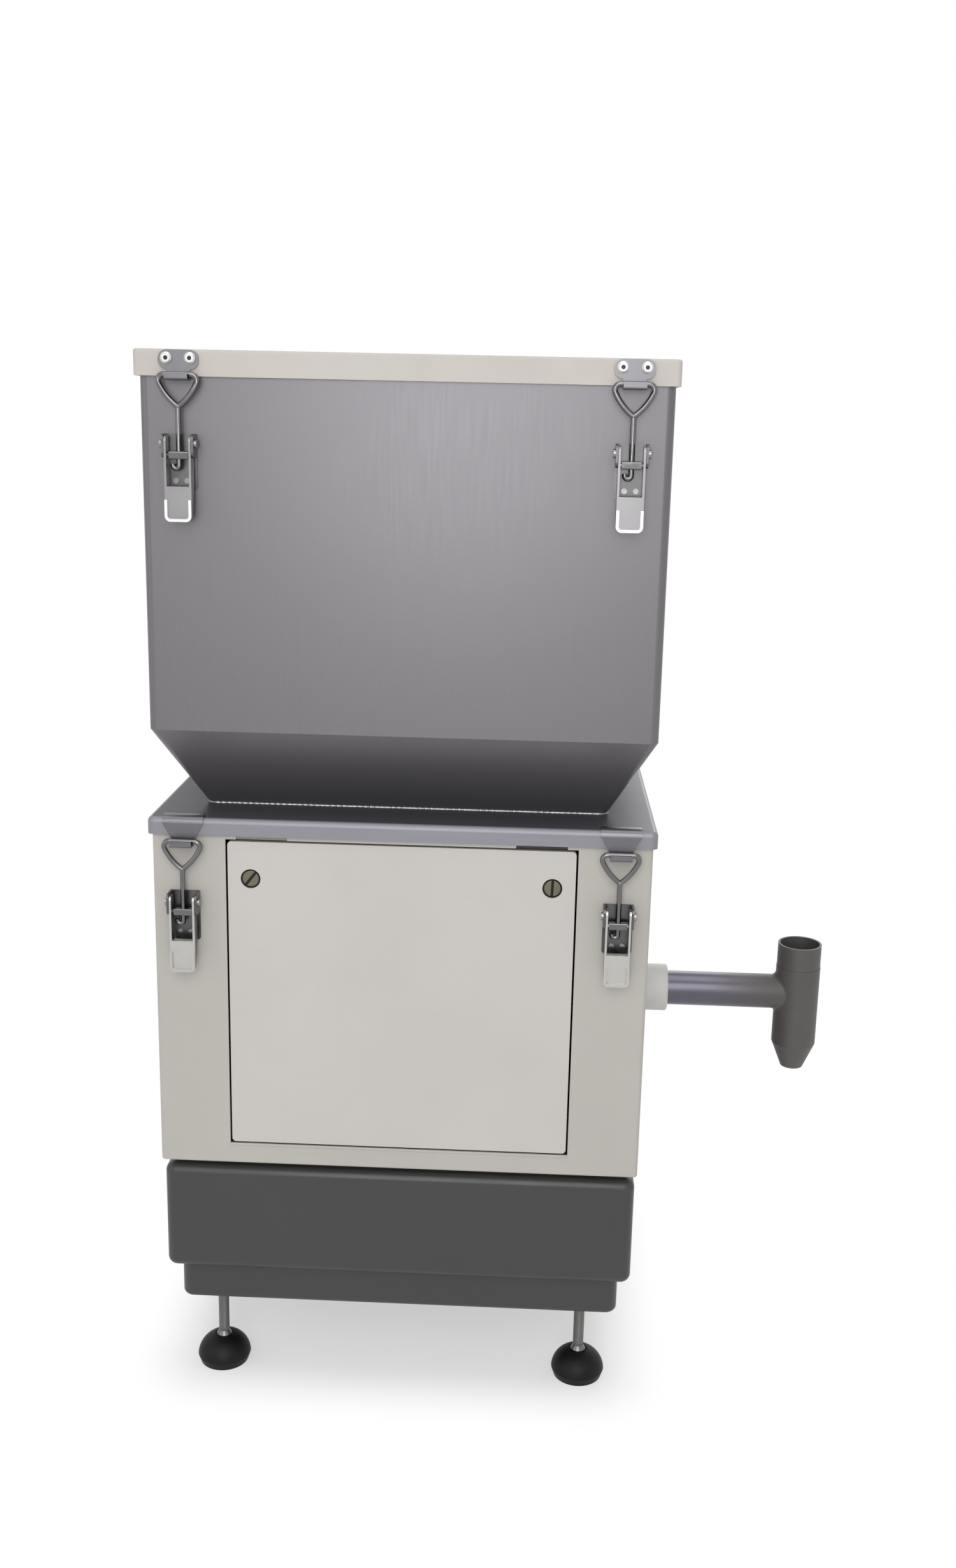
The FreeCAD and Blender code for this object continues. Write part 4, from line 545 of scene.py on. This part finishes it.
def floor_material():
    """Pale floor that keeps the object's shadow and fades to plain white away from it."""
    material, tree, shader = new_material("pale_floor")
    shader.inputs["Base Color"].default_value = (FLOOR_PALE, FLOOR_PALE, FLOOR_PALE, 1.0)
    shader.inputs["Roughness"].default_value = FLOOR_ROUGHNESS
    shader.inputs["Specular IOR Level"].default_value = 0.0
    glow = tree.nodes.new("ShaderNodeEmission")
    glow.inputs["Color"].default_value = (1, 1, 1, 1)
    source = tree.nodes.new("ShaderNodeTexCoord")
    place = source.outputs["Object"]
    for operation, other in (("ABSOLUTE", None), ("SUBTRACT", SHADOW_HALF), ("MAXIMUM", (0, 0, 0))):
        step = tree.nodes.new("ShaderNodeVectorMath")
        step.operation = operation
        tree.links.new(place, step.inputs[0])
        if other:
            step.inputs[1].default_value = other
        place = step.outputs["Vector"]
    distance = tree.nodes.new("ShaderNodeVectorMath")
    distance.operation = "LENGTH"
    tree.links.new(place, distance.inputs[0])
    fade = tree.nodes.new("ShaderNodeMapRange")
    fade.interpolation_type = "SMOOTHSTEP"
    fade.inputs["From Max"].default_value = SHADOW_REACH
    fade.inputs["To Min"].default_value = SHADOW_LIFT
    tree.links.new(distance.outputs["Value"], fade.inputs["Value"])
    amount = tree.nodes.new("ShaderNodeMath")
    amount.operation = "MULTIPLY"
    tree.links.new(fade.outputs["Result"], amount.inputs[0])
    tree.links.new(seen_directly(tree), amount.inputs[1])
    mix = tree.nodes.new("ShaderNodeMixShader")
    tree.links.new(amount.outputs["Value"], mix.inputs["Fac"])
    tree.links.new(shader.outputs["BSDF"], mix.inputs[1])
    tree.links.new(glow.outputs["Emission"], mix.inputs[2])
    tree.links.new(mix.outputs["Shader"], tree.nodes["Material Output"].inputs["Surface"])
    return material


def seen_directly(tree):
    """1 for camera, glossy and transmission rays."""
    path = tree.nodes.new("ShaderNodeLightPath")
    total = path.outputs["Is Camera Ray"]
    for name in ("Is Glossy Ray", "Is Transmission Ray"):
        add = tree.nodes.new("ShaderNodeMath")
        add.operation = "MAXIMUM"
        tree.links.new(total, add.inputs[0])
        tree.links.new(path.outputs[name], add.inputs[1])
        total = add.outputs["Value"]
    return total


def make_floor():
    """Round floor under the object."""
    data = bpy.data.meshes.new("floor")
    shape = bmesh.new()
    bmesh.ops.create_circle(shape, cap_ends=True, radius=FLOOR_RADIUS, segments=FLOOR_SIDES)
    shape.to_mesh(data)
    shape.free()
    floor = bpy.data.objects.new("floor", data)
    bpy.context.scene.collection.objects.link(floor)
    data.materials.append(floor_material())
    floor.location.x = CABINET_MIDDLE_X


def make_world():
    """White surroundings for what is seen, and a softer fill for the light."""
    world = bpy.data.worlds.new("studio")
    bpy.context.scene.world = world
    world.use_nodes = True
    tree = world.node_tree
    background = tree.nodes["Background"]
    background.inputs["Color"].default_value = (1, 1, 1, 1)
    strength = spread_over(tree, seen_directly(tree), FILL_STRENGTH, 1.0)
    tree.links.new(strength, background.inputs["Strength"])


def make_lights():
    """Soft boxes round the object."""
    for name, place, power, size in LIGHTS:
        data = bpy.data.lights.new(name, "AREA")
        data.energy = power
        data.shape = "SQUARE"
        data.size = size
        light = bpy.data.objects.new(name, data)
        light.location = place
        light.rotation_euler = (LIGHT_AIM - Vector(place)).to_track_quat("-Z", "Y").to_euler()
        bpy.context.scene.collection.objects.link(light)


def make_camera():
    """Camera at the photograph's place and angle."""
    ahead = Vector((
        -math.sin(CAMERA_YAW) * math.cos(CAMERA_PITCH),
        math.cos(CAMERA_YAW) * math.cos(CAMERA_PITCH),
        math.sin(CAMERA_PITCH),
    ))
    right = Vector((math.cos(CAMERA_YAW), math.sin(CAMERA_YAW), 0))
    up = right.cross(ahead)
    rolled_right = math.cos(CAMERA_ROLL) * right + math.sin(CAMERA_ROLL) * up
    rolled_up = math.cos(CAMERA_ROLL) * up - math.sin(CAMERA_ROLL) * right
    data = bpy.data.cameras.new("camera")
    data.sensor_width = SENSOR_MM
    data.sensor_height = SENSOR_MM
    data.lens = FOCAL_PIXELS / max(IMAGE_WIDTH, IMAGE_HEIGHT) * SENSOR_MM
    data.clip_start = 0.01
    camera = bpy.data.objects.new("camera", data)
    turn = Matrix((rolled_right, rolled_up, -ahead)).transposed().to_4x4()
    camera.matrix_world = Matrix.Translation(CAMERA_PLACE) @ turn
    bpy.context.scene.collection.objects.link(camera)
    bpy.context.scene.camera = camera


paint_nodes()
foot_threads(satin_metal("steel_thread", FOOT_STEEL, roughness=0.3))
throat_weld(satin_metal("bright_weld", LATCH_STEEL, roughness=0.3))
make_floor()
make_world()
make_lights()
make_camera()
bpy.context.scene.view_settings.view_transform = "Standard"
